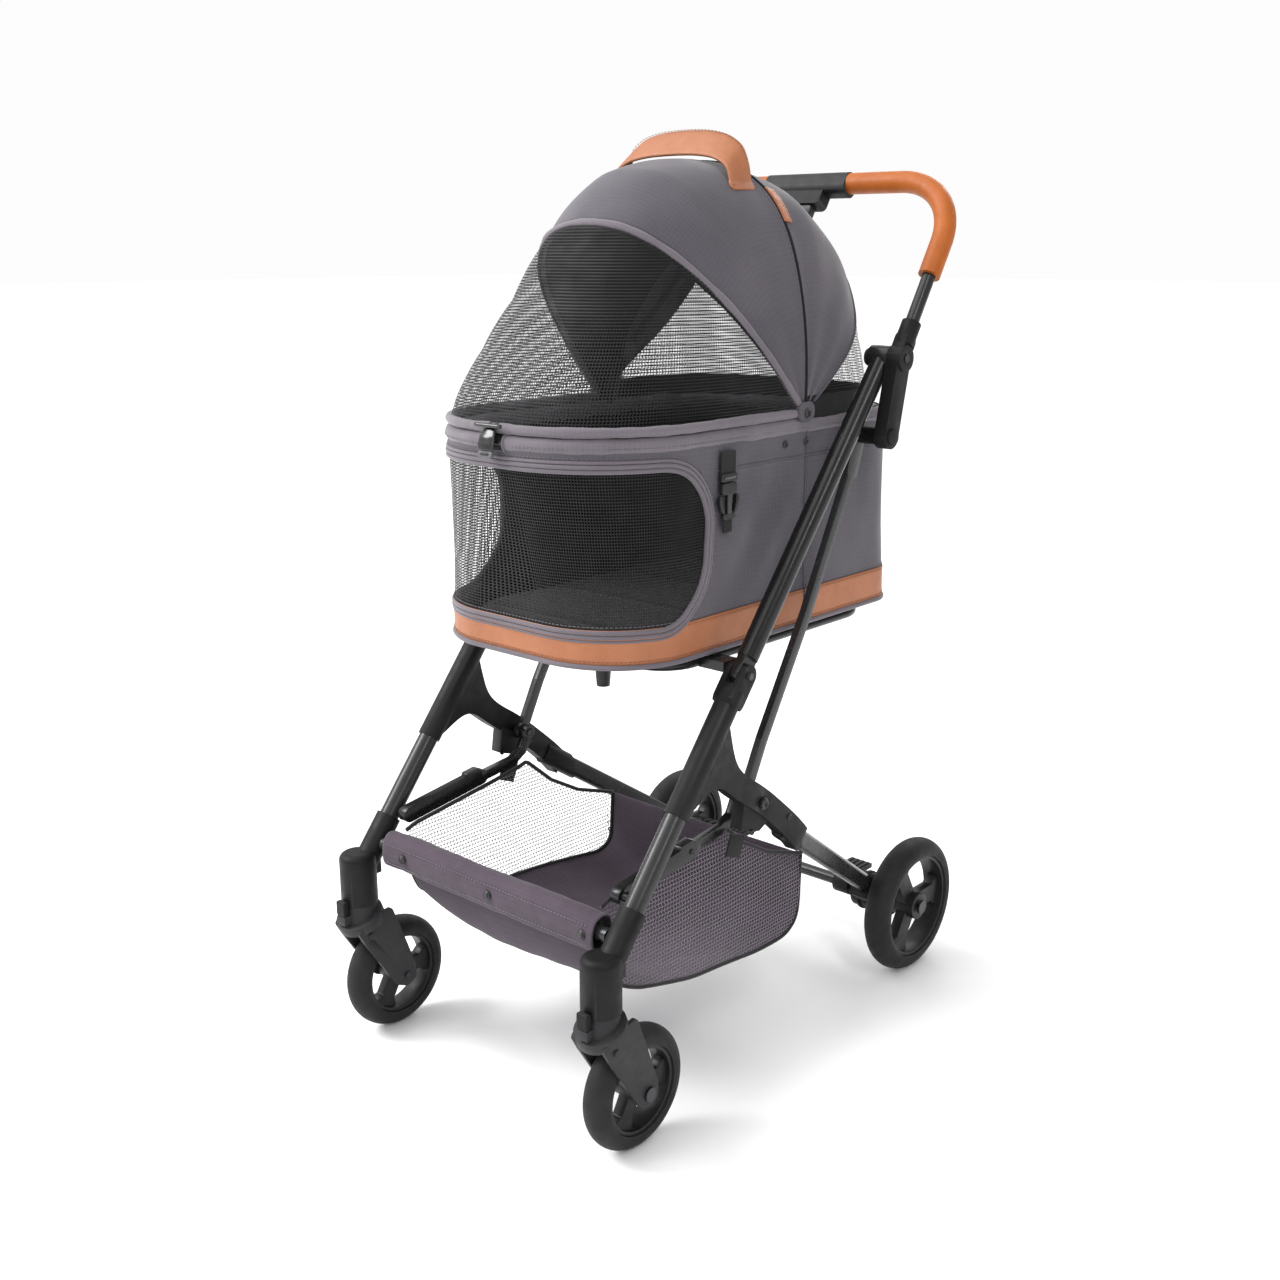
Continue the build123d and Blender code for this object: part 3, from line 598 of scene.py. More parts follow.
def tub(share, z, out=0.0):
    share, z = np.broadcast_arrays(np.asarray(share, float), np.asarray(z, float))
    high = np.clip((z - FLOOR_Z) / (RIM_Z - FLOOR_Z), 0, 1.06)
    x, y = plan_point(share, high)
    nx, ny = plan_normal(share, high)
    stand = out + tub_sag(share, z)
    return np.stack([x + nx * stand, y + ny * stand, z + 0 * x], -1)


def tub_at_y(y):
    """Share of the outline where the side is at that Y."""
    start, end = RIM_PLAN[0] + RIM_PLAN[3], RIM_PLAN[1] - RIM_PLAN[4]
    return mix(PLAN_BREAKS[2], PLAN_BREAKS[3], (y - start) / (end - start))


def side_seam_share():
    return tub_at_y(SIDE_SEAM_Y)


def window_distance(arc, z):
    """Distance outside the tub's window, negative inside it."""
    dx = np.abs(arc) - (WINDOW_ARC - WINDOW_CORNER)
    dz = np.abs(z - WINDOW_Z) - (WINDOW_HALF - WINDOW_CORNER)
    return np.hypot(np.maximum(dx, 0), np.maximum(dz, 0)) + np.minimum(np.maximum(dx, dz), 0) - WINDOW_CORNER


def window_path(grow, out):
    outline = rounded(2 * (WINDOW_ARC + grow), 2 * (WINDOW_HALF + grow), WINDOW_CORNER + grow, 14)
    fine = resample([(a, z + WINDOW_Z, 0) for a, z in outline], 4, True)
    return tub(fine[:, 0] / HALF_GIRTH, fine[:, 1], out)


def settled(distance, step, arc, z):
    """Moves grid points that lie close to the edge of an opening onto it."""
    eps = 0.5
    gx = (distance(arc + eps, z) - distance(arc - eps, z)) / (2 * eps)
    gz = (distance(arc, z + eps) - distance(arc, z - eps)) / (2 * eps)
    d = distance(arc, z)
    near = np.abs(d) < step * 0.6
    return np.where(near, arc - gx * d, arc), np.where(near, z - gz * d, z)


def alternate(rows):
    """1 and -1 by turns, one per row."""
    return np.where(np.arange(len(rows)) % 2, 1, -1)[:, None]


def centres(values):
    return (values[:-1, :-1] + values[1:, :-1] + values[:-1, 1:] + values[1:, 1:]) / 4


def hood_facts(angle):
    angle = np.where(np.asarray(angle) > 270, 0, angle)
    return np.interp(angle, HOOD[:, 0], HOOD[:, 1]), np.interp(angle, HOOD[:, 0], HOOD[:, 2])


def hood_stand(angle, share):
    """Tension folds, and the ridge over the middle bow."""
    spot = np.stack([angle * 2.2, share * 620, 0 * angle], -1)
    fan = 1.6 * ripple(spot, 150) + 0.5 * ripple(spot + 300, 50)
    ridge = 2.2 * np.exp(-((angle - SEAM_ANGLE) / 3.2) ** 2)
    return fan * np.sin(math.pi * share) ** 0.5 + ridge - 1.2 * np.cos(math.radians(8) * (angle - 111)) ** 2


def hood(angle, share, out=0.0):
    """Points of the hood, angle round its pivot line, share 0..1 across from the left foot."""
    angle, share = np.broadcast_arrays(np.asarray(angle, float), np.asarray(share, float))
    reach, power = hood_facts(angle)
    turn = math.pi * share
    stand = out + hood_stand(angle, share)
    x = (HALF_WIDTH + stand) * np.sign(np.cos(turn)) * np.abs(np.cos(turn)) ** (2 / power)
    q = (reach + stand) * np.maximum(np.sin(turn), 0) ** (2 / power)
    radians = np.radians(angle)
    return np.stack([x, PIVOT_Y + q * np.cos(radians), PIVOT_Z + q * np.sin(radians)], -1)


def rear_edge(share):
    """Angle at which the hood's cloth ends and its rear netting starts."""
    return 35 + 20 * np.clip(np.sin(math.pi * share), 0, 1) ** 3


def hood_radial(bearing, z, out=0.0):
    """Points where level rays from the hood's middle meet its surface; bearing 0 is the front."""
    bearing, z = np.broadcast_arrays(np.asarray(bearing, float), np.asarray(z, float))
    low, high = np.zeros(z.shape), np.full(z.shape, 480.0)
    for _ in range(34):
        middle = (low + high) / 2
        x, y = middle * np.sin(bearing), HOOD_MIDDLE_Y - middle * np.cos(bearing) - PIVOT_Y
        up = z - PIVOT_Z
        reach, power = hood_facts(np.degrees(np.arctan2(up, y)) % 360)
        outside = (np.abs(x) / (HALF_WIDTH + out)) ** power + (np.hypot(y, up) / (reach + out)) ** power > 1
        high = np.where(outside, middle, high)
        low = np.where(outside, low, middle)
    return np.stack([low * np.sin(bearing), HOOD_MIDDLE_Y - low * np.cos(bearing), z], -1)


def even_bearings(first, last, z, pitch):
    """Bearings that space the points of the hood's level outline evenly."""
    fine = np.linspace(first, last, 900)
    outline = hood_radial(fine, np.full(fine.shape, float(z)))
    length = run_lengths(outline)
    return np.interp(np.linspace(0, length[-1], int(length[-1] / pitch) + 1), length, fine), length[-1]


def hood_net_grid(first, last, low, high, pitch, out):
    bearings, length = even_bearings(first, last, mix(low, high, 0.35), pitch)
    heights = np.arange(low, high + pitch, pitch)
    bearing, z = np.meshgrid(bearings, heights)
    step = bearings[1] - bearings[0]
    bearing = bearing + step * 0.16 * alternate(heights)
    points = hood_radial(bearing, z, out=out)
    uv = np.stack([np.broadcast_to(np.linspace(0, length, len(bearings)), z.shape), z], -1)
    angle = np.degrees(np.arctan2(points[..., 2] - PIVOT_Z, points[..., 1] - PIVOT_Y))
    return points, uv, angle


# ---------------------------------------------------------------- carrier tub

def tub_grid(low, high, step, out=0.0, settle=None):
    shares = np.linspace(-1, 1, int(2 * HALF_GIRTH / step) + 1)
    heights = np.linspace(low, high, max(2, int(round((high - low) / step)) + 1))
    share, z = np.meshgrid(shares, heights)
    arc = share * HALF_GIRTH
    if settle is not None:
        arc, z = settled(settle, step, arc, z)
    return tub(arc / HALF_GIRTH, z, out), np.stack([arc, z], -1), arc, z


def make_tub():
    grid, uv, arc, z = tub_grid(550, 742, 4.0, settle=window_distance)
    keep = window_distance(centres(arc), centres(z)) > 0
    cloth = thicken(sheet("tub_cloth", grid, uv, keep, M_CLOTH), 1.6, M_LINING)
    ride(cloth, "carrier", "carrier_fabric", "carrier_body")

    grid, uv, arc, z = tub_grid(*BAND, 6.5, out=1.2)
    band = thicken(sheet("tub_band", grid, uv, None, M_TAN), 1.4, M_LINING)
    ride(band, "carrier", "strap_leather")

    pitch = 3.3
    reach = WINDOW_ARC + 6
    shares = np.arange(-reach, reach + pitch, pitch) / HALF_GIRTH
    heights = np.arange(BAND[1] - 3, WINDOW_Z + WINDOW_HALF + 4, pitch)
    share, z = np.meshgrid(shares, heights)
    share = share + 0.16 * pitch / HALF_GIRTH * alternate(heights)
    arc = share * HALF_GIRTH
    keep = window_distance(centres(arc), centres(z)) < 1.5
    window = net("tub_window_net", tub(share, z, -0.8), np.stack([arc, z], -1), keep, M_NET)
    ride(window, "carrier", "mesh")

    runs = [(window_path(grow, out), radius, True) for grow, out, radius in
            ((-2, 0.6, 2.6), (3, 0.8, 2.4), (7.6, 0.5, 1.8))]
    runs.append((tub(np.linspace(-1, 0.999, 400), BAND[0] - 2, 0.5), 3.2, True))
    ride(tubes("tub_piping", runs, M_PIPING, 9), "carrier", "carrier_fabric")

    seam_shares = [side * share for share in (side_seam_share(), PLAN_BREAKS[4]) for side in (-1, 1)]
    heights = np.linspace(BAND[1] + 1, RIM_Z - 2, 40)
    seams = [(tub(share, heights, 0.3), 1.0, False) for share in seam_shares]
    band_heights = np.linspace(BAND[0] + 1, BAND[1], 8)
    seams += [(tub(share, band_heights, 1.6), 0.8, False) for share in seam_shares[:2]]
    hem = np.linspace((WINDOW_ARC + 10) / HALF_GIRTH, 0.9985, 150)
    seams += [(tub(side * hem, HEM_Z, 0.2), 0.9, False) for side in (-1, 1)]
    ride(tubes("tub_seams", seams, M_CLOTH, 8), "carrier", "carrier_fabric")

    rows = [tub(share + shift / HALF_GIRTH, heights, 0.2) for share in seam_shares for shift in (-4.5, 4.5)]
    around = np.linspace(-0.998, 0.998, 500)
    rows.append(tub(around, BAND[1] + 3, 0.2))
    rows += [tub(side * hem, HEM_Z + shift, 0.2) for side in (-1, 1) for shift in (-3.5, 3.5)]
    rows.append(window_path(11.5, 0.3))
    ride(stitches("tub_stitching", rows, M_THREAD), "carrier", "carrier_fabric")
    rows = [tub(around, height, 1.5) for height in (BAND[0] + 4, BAND[1] - 3)]
    ride(stitches("band_stitching", rows, M_TAN_THREAD), "carrier", "strap_leather")


def inset_plan(shares, high, inset):
    """The carrier's outline at one height, moved inwards."""
    high = np.full(len(shares), float(high))
    x, y = plan_point(shares, high)
    nx, ny = plan_normal(shares, high)
    return np.stack([x - nx * inset, y - ny * inset], -1)


def rim_outline(inset, first=-1.0, last=1.0):
    return inset_plan(np.linspace(first, last, 360), 1, inset)


def level(outline, z):
    return np.column_stack([outline, np.full(len(outline), z)])


def puckered(path, radius, amount):
    """Radius that swells and pinches as sewn cloth does round a rim."""
    return radius + amount * ripple(path, 26) + amount * 0.5 * ripple(path + 90, 9)


def roll(name, path, radius, closed, body, *replaced):
    path = resample(path, 4, closed)
    points, faces = tube_parts(path, puckered(path, radius, 0.35), 16, closed)
    around = np.linspace(0, 2 * math.pi * radius, 16, endpoint=False)
    along = np.arange(len(path)) * 4.0
    uv = np.stack([np.repeat(along, 16), np.tile(around, len(path))], -1)
    return ride(piece(name, points, faces, M_PIPING, uv), body, "carrier_fabric", *replaced)


ROLL_INSET, ROLL_Z, ROLL_R = 7, 743.5, 9.5


def make_rims():
    lower = level(rim_outline(ROLL_INSET)[:-1], ROLL_Z)
    roll("tub_rim_roll", lower, ROLL_R, True, "carrier", "body_rim")
    cord = level(rim_outline(2.5)[:-1], RIM_Z - 3.5)
    ride(tubes("tub_rim_cord", [(cord, 1.6, True)], M_CLOTH, 8), "carrier", "carrier_fabric")
    # Painted shade: a black cord laid where the two rim rolls meet, standing in for the shade in the gap
    # between them.
    gap_shade_path = level(rim_outline(ROLL_INSET)[:-1], ROLL_Z + ROLL_R)
    ride(tubes("rim_gap_painted_shade", [(gap_shade_path, 1.3, True)], M_LINING, 8), "carrier", "carrier_fabric")
    stop = tub_at_y(PIVOT_Y - 9)
    upper = level(rim_outline(4, -stop, stop), PIVOT_Z + 0.5)
    roll("hood_rim_roll", upper, 5.5, False, "hood_rim", "canopy_rim")
    rows = [level(rim_outline(ROLL_INSET - ROLL_R), ROLL_Z - 1.5)]
    ride(stitches("rim_stitching", rows, M_THREAD), "carrier", "carrier_fabric")
    heads, feet = [], []
    for side in (-1, 1):
        heads.append(((side * 164.5, PIVOT_Y, PIVOT_Z), 5.5, 2.6, side))
        heads += [((side * 161, y, 726), 4.2, 2.2, side) for y in (303, 343)]
        feet.append(plate("hood_foot", rounded(30, 22, 9), 5.5, M_CLOTH, (side * 161.5, PIVOT_Y, PIVOT_Z + 2),
                          (0, side, 0), (0, 0, 1), 2.2))
    ride(bolt_heads("rim_rivets", heads, M_PLASTIC), "carrier", "small_plastic")
    ride(merged("hood_foot_tabs", feet), "carrier", "carrier_fabric")


def make_lining():
    """Black band inside the top of the tub."""
    grid, uv, arc, _ = tub_grid(720, 748, 5, out=-4.5)
    band = sheet("tub_inner_band", grid, uv, None, M_LINING)
    ride(thicken(band, 1.2), "carrier", "carrier_fabric")


def mat_start():
    """The mat before it is stuffed: a low rounded slab with pulled-in sides."""
    count, rings = 120, []
    shares = np.linspace(-1, 1, count, endpoint=False)
    inset = [(26, 0), (13, 2), (12, 9), (14, 14), (40, 17), (90, 18)]
    for by, up in inset:
        rings.append(level(inset_plan(shares, 0, by), FLOOR_Z + 5.5 + up))
    points = np.vstack(rings)
    faces = ring_faces(len(rings), count)
    faces.append(tuple(reversed(range(count))))
    faces.append(tuple((len(rings) - 1) * count + i for i in range(count)))
    return piece("mat", points, faces, M_MAT)


def apply_modifiers(obj):
    graph = bpy.context.evaluated_depsgraph_get()
    data = bpy.data.meshes.new_from_object(obj.evaluated_get(graph))
    obj.modifiers.clear()
    obj.data = data


def stuffed(obj, voxel, pressure, cap):
    """Voxel remesh, then a short cloth simulation under air pressure, with a cap on movement."""
    remesh = obj.modifiers.new("remesh", "REMESH")
    remesh.mode = "VOXEL"
    remesh.voxel_size = voxel / 1000
    apply_modifiers(obj)
    rest = np.array([v.co for v in obj.data.vertices])
    cloth = obj.modifiers.new("cloth", "CLOTH")
    cloth.settings.use_pressure = True
    cloth.settings.uniform_pressure_force = pressure
    cloth.settings.effector_weights.gravity = 0
    for number in range(1, 21):
        bpy.context.scene.frame_set(number)
    apply_modifiers(obj)
    bpy.context.scene.frame_set(1)
    moved = np.array([v.co for v in obj.data.vertices]) - rest
    length = np.linalg.norm(moved, axis=1, keepdims=True)
    capped = rest + moved * np.minimum(1, cap / 1000 / np.maximum(length, 1e-9))
    obj.data.vertices.foreach_set("co", capped.ravel())
    obj.data.update()


def make_mat():
    mat = mat_start()
    stuffed(mat, 6, 3, 5)
    points = np.array([v.co for v in mat.data.vertices])
    channel = np.abs((points[:, 1] * 1000 - AXLE_Y - 40) % 118 - 59)
    top = np.clip((points[:, 2] - (FLOOR_Z + 11) / 1000) / 0.01, 0, 1)
    points[:, 2] -= 0.0035 * np.exp(-(channel / 4) ** 2) * top
    points[:, 2] = np.maximum(points[:, 2], (FLOOR_Z + 1) / 1000)
    mat.data.vertices.foreach_set("co", points.ravel())
    mat.data.polygons.foreach_set("use_smooth", [True] * len(mat.data.polygons))
    subdivide = mat.modifiers.new("smooth", "SUBSURF")
    subdivide.levels = subdivide.render_levels = 1
    apply_modifiers(mat)
    mat.data.materials.clear()
    mat.data.materials.append(M_MAT)
    ride(mat, "carrier", "mat_fabric", "carrier_mat")


# ---------------------------------------------------------------- hood

def hood_blend(obj, slot="carrier_fabric", *replaced):
    """Bakes the piece's placement into its mesh and hides the CAD parts it replaces."""
    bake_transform(obj)
    return dress(obj, replaced)


def window_blend(obj, slot, *replaced):
    """Bakes the piece's placement into its mesh and hides the CAD parts it replaces."""
    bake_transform(obj)
    return dress(obj, replaced)


def hood_grid(front, back, out, rows, columns, first=0.0006):
    shares = np.linspace(first, 1 - first, columns + 1)
    share, depth = np.meshgrid(shares, np.linspace(0, 1, rows + 1))
    angle = mix(front, back(share), depth)
    points = hood(angle, share, out)
    uv = np.stack([share * 700, np.radians(angle) * 280], -1)
    return points, uv


def make_hood():
    grid, uv = hood_grid(BOW_ANGLE - 0.3, rear_edge, 0, 70, 150)
    cloth = thicken(sheet("hood_cloth", grid, uv, None, M_CLOTH, True), 1.4, M_CLOTH)
    hood_blend(cloth, "carrier_fabric", "canopy_main")

    grid, uv = hood_grid(BOW_ANGLE - 1, lambda share: 58 + 0 * share, -2.6, 40, 100)
    lining = sheet("hood_lining", grid, uv, None, M_LINING, True)
    hood_blend(lining)

    shares = np.linspace(0.006, 0.994, 260)
    seam = hood(np.full(260, float(SEAM_ANGLE)), shares, 0.5)
    hood_blend(tubes("hood_middle_seam", [(seam, 1.5, False)], M_LINING, 8))
    rows = [hood(SEAM_ANGLE + turn, shares[30:-30], 0.3) for turn in (-1.3, 1.3)]
    rows += [hood(rear_edge(shares) + 1.4, shares, 0.3)]
    hood_blend(stitches("hood_stitching", rows, M_THREAD))
    edge = hood(rear_edge(shares), shares, 0)
    hood_blend(tubes("hood_rear_hem", [(edge, 1.7, False)], M_CLOTH, 8))

    front = hood(np.full(260, BOW_ANGLE + 0.2), shares, -0.5)
    roll("hood_bow_piping", front, 4.6, False, "front_bow", "canopy_front_bow")
    inner = hood(np.full(260, BOW_ANGLE + 1.7), shares, -1.5)
    ride(tubes("hood_bow_binding", [(inner, 2.2, False)], M_LINING, 8), "front_bow", "carrier_fabric")


def make_hood_nets():
    grid, uv, angle = hood_net_grid(-1.66, 1.66, PIVOT_Z + 2, PIVOT_Z + 222, 3.3, -1.0)
    middle = centres(angle)
    keep = (middle > BOW_ANGLE + 0.6) & (middle < 180)
    window = net("hood_window_net", grid, uv, keep, M_NET)
    window_blend(window, "mesh", "canopy_window")

    grid, uv, angle = hood_net_grid(1.4, 2 * math.pi - 1.4, PIVOT_Z - 3, PIVOT_Z + 220, 3.3, -2.2)
    middle, points = centres(angle), grid[:-1, :-1]
    share = np.clip(0.5 - np.arcsin(np.clip(centres(grid[..., 0]) / HALF_WIDTH, -1, 1)) / math.pi, 0, 1)
    keep = (middle < rear_edge(share) + 14) & (points[..., 1] > PIVOT_Y)
    rear = net("hood_rear_net", grid, uv, keep, M_NET, REAR_NET_HOLE)
    ride(rear, "carrier", "mesh")

    heights = np.linspace(PIVOT_Z - 8, PIVOT_Z + 19, 7)
    bearings, length = even_bearings(1.62, 2 * math.pi - 1.62, PIVOT_Z + 11, 6)
    bearing, z = np.meshgrid(bearings, heights)
    strip = hood_radial(bearing, z, out=-0.6)
    uv = np.stack([np.broadcast_to(np.linspace(0, length, len(bearings)), z.shape), z], -1)
    band = sheet("rear_net_binding", strip, uv, None, M_LINING)
    ride(thicken(band, 1.2, offset=0), "carrier", "carrier_fabric")


STRAP_Y, STRAP_WIDTH = 304, 38
STRAP_TILT = math.radians(45)


def strap_path():
    """Middle line of the carrying strap, from one end to the other, as (x, z)."""
    knots = np.array([(-91, 1008), (-89, 1022), (-82, 1039), (-62, 1050), (-34, 1054.5), (0, 1055.5),
                      (34, 1054.5), (62, 1050), (82, 1039), (89, 1022), (91, 1008)], float)
    at = np.linspace(0, len(knots) - 1, 90)
    smooth = np.stack([np.interp(at, range(len(knots)), knots[:, i]) for i in (0, 1)], -1)
    return relaxed(smooth, 12)


def strap_grid(width, lift):
    line = strap_path()
    ahead = np.gradient(line, axis=0)
    ahead /= np.linalg.norm(ahead, axis=1, keepdims=True)
    up = np.column_stack([-ahead[:, 1], ahead[:, 0]])
    across = np.linspace(-1, 1, 13)
    crown = lift + 0.9 * (1 - np.abs(across) ** 4)
    points = np.zeros((len(line), len(across), 3))
    points[..., 0] = line[:, 0, None] + up[:, 0, None] * crown
    tilt = STRAP_TILT * np.sin(math.pi * np.linspace(0, 1, len(line)))[:, None] ** 0.5
    points[..., 1] = STRAP_Y + across * np.cos(tilt) * width / 2
    points[..., 2] = line[:, 1, None] + up[:, 1, None] * crown + across * np.sin(tilt) * width / 2
    length = run_lengths(line)
    uv = np.stack(np.broadcast_arrays(length[:, None], across * width / 2), -1)
    return points, uv, length[-1]


def make_strap():
    grid, uv, length = strap_grid(STRAP_WIDTH, 1.0)
    strap = thicken(sheet("carry_strap_leather", grid, uv, None, M_TAN, True), 3.0, M_WEBBING)
    strap.modifiers["thickness"].material_offset_rim = 0
    ride(strap, "carrier", "strap_leather", "carry_strap")
    edges = [grid[:, column] + (0, shift, 0.35) for column, shift in ((0, 3), (-1, -3))]
    ride(stitches("carry_strap_stitching", edges, M_TAN_THREAD), "carrier", "strap_leather")
    tabs = []
    for side in (-1, 1):
        tab = plate("strap_tab", rounded(40, 12, 4), 3.2, M_TAN, (side * 93, STRAP_Y, 1007), (0, 1, 0),
                    (side * 0.6, 0, -1), 1.0)
        tabs.append(tab)
    ride(merged("carry_strap_tabs", tabs), "carrier", "strap_leather")


def make_tag():
    """Blank leather tag sewn into the middle seam and lying along it."""
    shares = np.linspace(0.325, 0.242, 25)
    grid = np.array([hood(SEAM_ANGLE - turn, shares, 2.6) for turn in np.linspace(-0.4, 3.4, 9)])
    length = float(np.linalg.norm(np.diff(grid[0], axis=0), axis=1).sum())
    width = float(np.linalg.norm(np.diff(grid[:, 12], axis=0), axis=1).sum())
    uv = np.stack(np.meshgrid(np.linspace(0, length, 25), np.linspace(0, width, 9)), -1)
    tag = thicken(sheet("seam_tag", grid, uv, None, M_TAN), 1.4)
    hood_blend(tag, "strap_leather")
    border = [grid[1, 1:-1], grid[-2, 1:-1]]
    hood_blend(stitches("seam_tag_stitching", border, M_TAN_THREAD, 2.4, 1.2, 0.35), "strap_leather")


LATCH_Y, LATCH_Z, LATCH_PIN_HALF = 0, 762, 19
BUCKLE_Y = 194


def make_latch():
    """Front clip: a hinged tongue that grips both rims, with its hinge rod and cloth rings."""
    x0 = RIM_PLAN[0]
    profile = [(2, 764), (-4, 758), (-9, 750), (-11.5, 742), (-12, 737)]
    halves = [6, 7.5, 10.5, 11.5, 11]
    fine = np.linspace(0, 4, 25)
    y, z, half = (np.interp(fine, range(5), column) for column in (*np.transpose(profile), halves))
    across = np.linspace(-1, 1, 15)
    crown = 1.4 * (1 - across ** 2)
    grid = np.stack(np.broadcast_arrays(half[:, None] * across, x0 + y[:, None] - crown, z[:, None]), -1)
    uv = np.stack(np.broadcast_arrays(across * 11, z[:, None]), -1)
    tongue = thicken(sheet("latch_tongue", grid, uv, None, M_GLOSS), 3.0, offset=0)
    apply_modifiers(tongue)
    slope = (1, 0, 0), (0, 0.3, 1)
    # The lip's light grey material is a painted highlight on black plastic.
    lip = plate("latch_lip", rounded(22, 8, 3), 3.6, M_LIP_PAINTED_HIGHLIGHT, (0, x0 - 12, 732.5), *slope, 1.1)
    slot = plate("latch_slot", rounded(12, 2.6, 1.2), 1.2, M_PLASTIC, (0, x0 - 14, 733), *slope, 0.4)
    pin = [(side * LATCH_PIN_HALF, LATCH_Y, LATCH_Z) for side in (-1, 1)]
    hinge = tubes("latch_hinge", [(pin, 2.4, False)], M_GLOSS, 14)
    ride(merged("front_latch", [tongue, lip, slot, hinge]), "latch", "small_plastic", "latch_clip")
    rod = tubes("latch_rod", [([(-17, x0 - 2.2, 744), (14, x0 - 2.2, 744)], 2.2, False)], M_STEEL, 14)
    ride(rod, "carrier", "bolts")
    rings = []
    for x in (-17, 16):
        turns = np.linspace(0, 2 * math.pi, 40, endpoint=False)
        ring = np.column_stack([x + 0 * turns, x0 + ROLL_INSET + (ROLL_R + 0.6) * np.cos(turns),
                                ROLL_Z + (ROLL_R + 0.6) * np.sin(turns)])
        rings.append((ring, 1.5, True))
    ride(tubes("latch_roll_rings", rings, M_PIPING, 10), "carrier", "carrier_fabric")
    turns = np.linspace(math.radians(100), math.radians(260), 14)
    x, turn = np.meshgrid(np.linspace(-16, 15, 12), turns)
    out = ROLL_R + 0.5
    patch = np.stack([x, x0 + ROLL_INSET + out * np.cos(turn), ROLL_Z + out * np.sin(turn)], -1)
    uv = np.stack([x, turn * 10], -1)
    recess = sheet("latch_recess", patch, uv, None, M_LINING, True)
    ride(thicken(recess, 1.0), "carrier", "carrier_fabric")


def buckle_parts(side):
    """Side-release buckle: webbing, ladder lock and a body with two arms and a spine."""
    x = side * 166.5

    def part(name, outline, thick, material, along_y, z, bevel=1.0, out=0.0):
        points = [(a * side, b) for a, b in outline]
        return plate(name, points if side > 0 else points[::-1], thick, material,
                     (x + side * out, BUCKLE_Y + along_y, z), (0, side, 0), (0, 0, 1), bevel)

    arm = [(3, 9), (7, 9), (8, 2), (4, -9), (1, -11), (-1, -9), (2, 0)]
    mirrored = [(-a, b) for a, b in reversed(arm)]
    return [
        part("buckle_web", rounded(25, 27, 1.5), 2.0, M_WEBBING, 0, 717, 0.5, -0.6),
        part("buckle_ladder", rounded(27, 9, 2.5), 5.4, M_PLASTIC, 0, 702, 1.2),
        part("buckle_slot", rounded(20, 3, 1.2), 1.4, M_GLOSS, 0, 702, 0.4, 2.8),
        part("buckle_block", rounded(25, 13, 3), 6.4, M_PLASTIC, 0, 690, 1.4),
        part("buckle_arm_a", mirrored, 6.0, M_PLASTIC, -9, 674, 1.1),
        part("buckle_arm_b", arm, 6.0, M_PLASTIC, 9, 674, 1.1),
        part("buckle_spine", rounded(7, 30, 2.4), 5.0, M_GLOSS, 0, 677, 1.1, 0.4),
        part("buckle_tip", rounded(20, 7, 3), 6.0, M_PLASTIC, 0, 660, 1.3),
        part("buckle_tail", rounded(15, 20, 1.5), 1.8, M_WEBBING, 0, 652, 0.5, -0.8),
    ]


def make_buckles():
    parts = [part for side in (-1, 1) for part in buckle_parts(side)]
    ride(merged("tub_side_buckles", parts), "carrier", "small_plastic", "side_buckles")


def make_tether():
    """Safety tether inside the hood, with its buckle."""
    knots = np.array([(-146, 345, 748), (-148, 362, 790), (-142, 392, 832), (-128, 424, 872),
                      (-112, 446, 905)], float)
    line = resample(knots, 6)
    half = 8
    grid = np.stack([line + (0, -half * 0.75, half * 0.35), line, line + (0, half * 0.75, -half * 0.35)], 1)
    length = 6.0 * (len(line) - 1)
    uv = np.stack(np.meshgrid(np.linspace(0, 2 * half, 3), np.linspace(0, length, len(line))), -1)
    strap = thicken(sheet("tether_webbing", grid, uv, None, M_WEBBING), 1.6)
    ride(strap, "carrier", "strap_leather")
    outline = [(-10, -14), (10, -14), (11, 6), (7, 15), (-7, 15), (-11, 6)]
    buckle = plate("tether_buckle", outline, 6, M_PLASTIC, (-145, 376, 812), (0, 0.8, -0.55),
                   (-0.05, 0.55, 0.8), 1.2)
    ride(buckle, "carrier", "small_plastic")


# ---------------------------------------------------------------- basket

# The sling's side outline from the front sleeve to the top of its back, as (y, z)
BASKET_SIDE = np.array([(-6, 262), (-3, 215), (12, 170), (52, 149), (150, 124), (268, 114), (330, 112),
                        (354, 128), (358, 212)], float)
BASKET_TOP = np.array([(-4, 268), (10, 273), (127, 289), (180, 297), (196, 301), (240, 264), (290, 236),
                       (358, 213)], float)
BASKET_HALF = 158


def basket_profile(count):
    """Sling profile from the front sleeve, under the floor and up the back, as (y, z)."""
    profile = resample(np.column_stack([BASKET_SIDE, np.zeros(len(BASKET_SIDE))]), 3)
    profile = resample(relaxed(profile, 30), 3)
    pick = np.linspace(0, len(profile) - 1, count)
    return np.stack([np.interp(pick, range(len(profile)), profile[:, i]) for i in (0, 1)], -1)


def basket_top(y):
    """Height of the side wall's upper edge, just under the rail."""
    return np.interp(y, *BASKET_TOP.T)


def make_basket():
    profile = basket_profile(110)
    across = np.linspace(-1, 1, 81)
    points = np.zeros((len(profile), len(across), 3))
    points[..., 0] = across * BASKET_HALF
    points[..., 1] = profile[:, 0, None]
    points[..., 2] = profile[:, 1, None]
    slack = np.sin(math.pi * np.clip(np.arange(len(profile)) / len(profile), 0, 1))[:, None]
    flat = np.stack([points[..., 0], points[..., 1] * 0.6, points[..., 2] * 0], -1)
    points[..., 2] += slack * (3.0 * ripple(flat, 120) + 1.2 * ripple(flat + 200, 42))
    points[..., 2] += slack * (30 * np.clip(-across, 0, 1) ** 3 - 13 * (1 - across ** 2))
    length = 3.0 * len(profile)
    uv = np.stack(np.meshgrid(across * BASKET_HALF, np.linspace(0, length, len(profile))), -1)
    sling = thicken(sheet("basket_sling", points, uv, None, M_BASKET), 1.5)
    ride(sling, "base", "basket_fabric", "storage_basket")
    make_basket_sleeve()
    make_basket_sides({1: points[:, -1], -1: points[:, 0]})


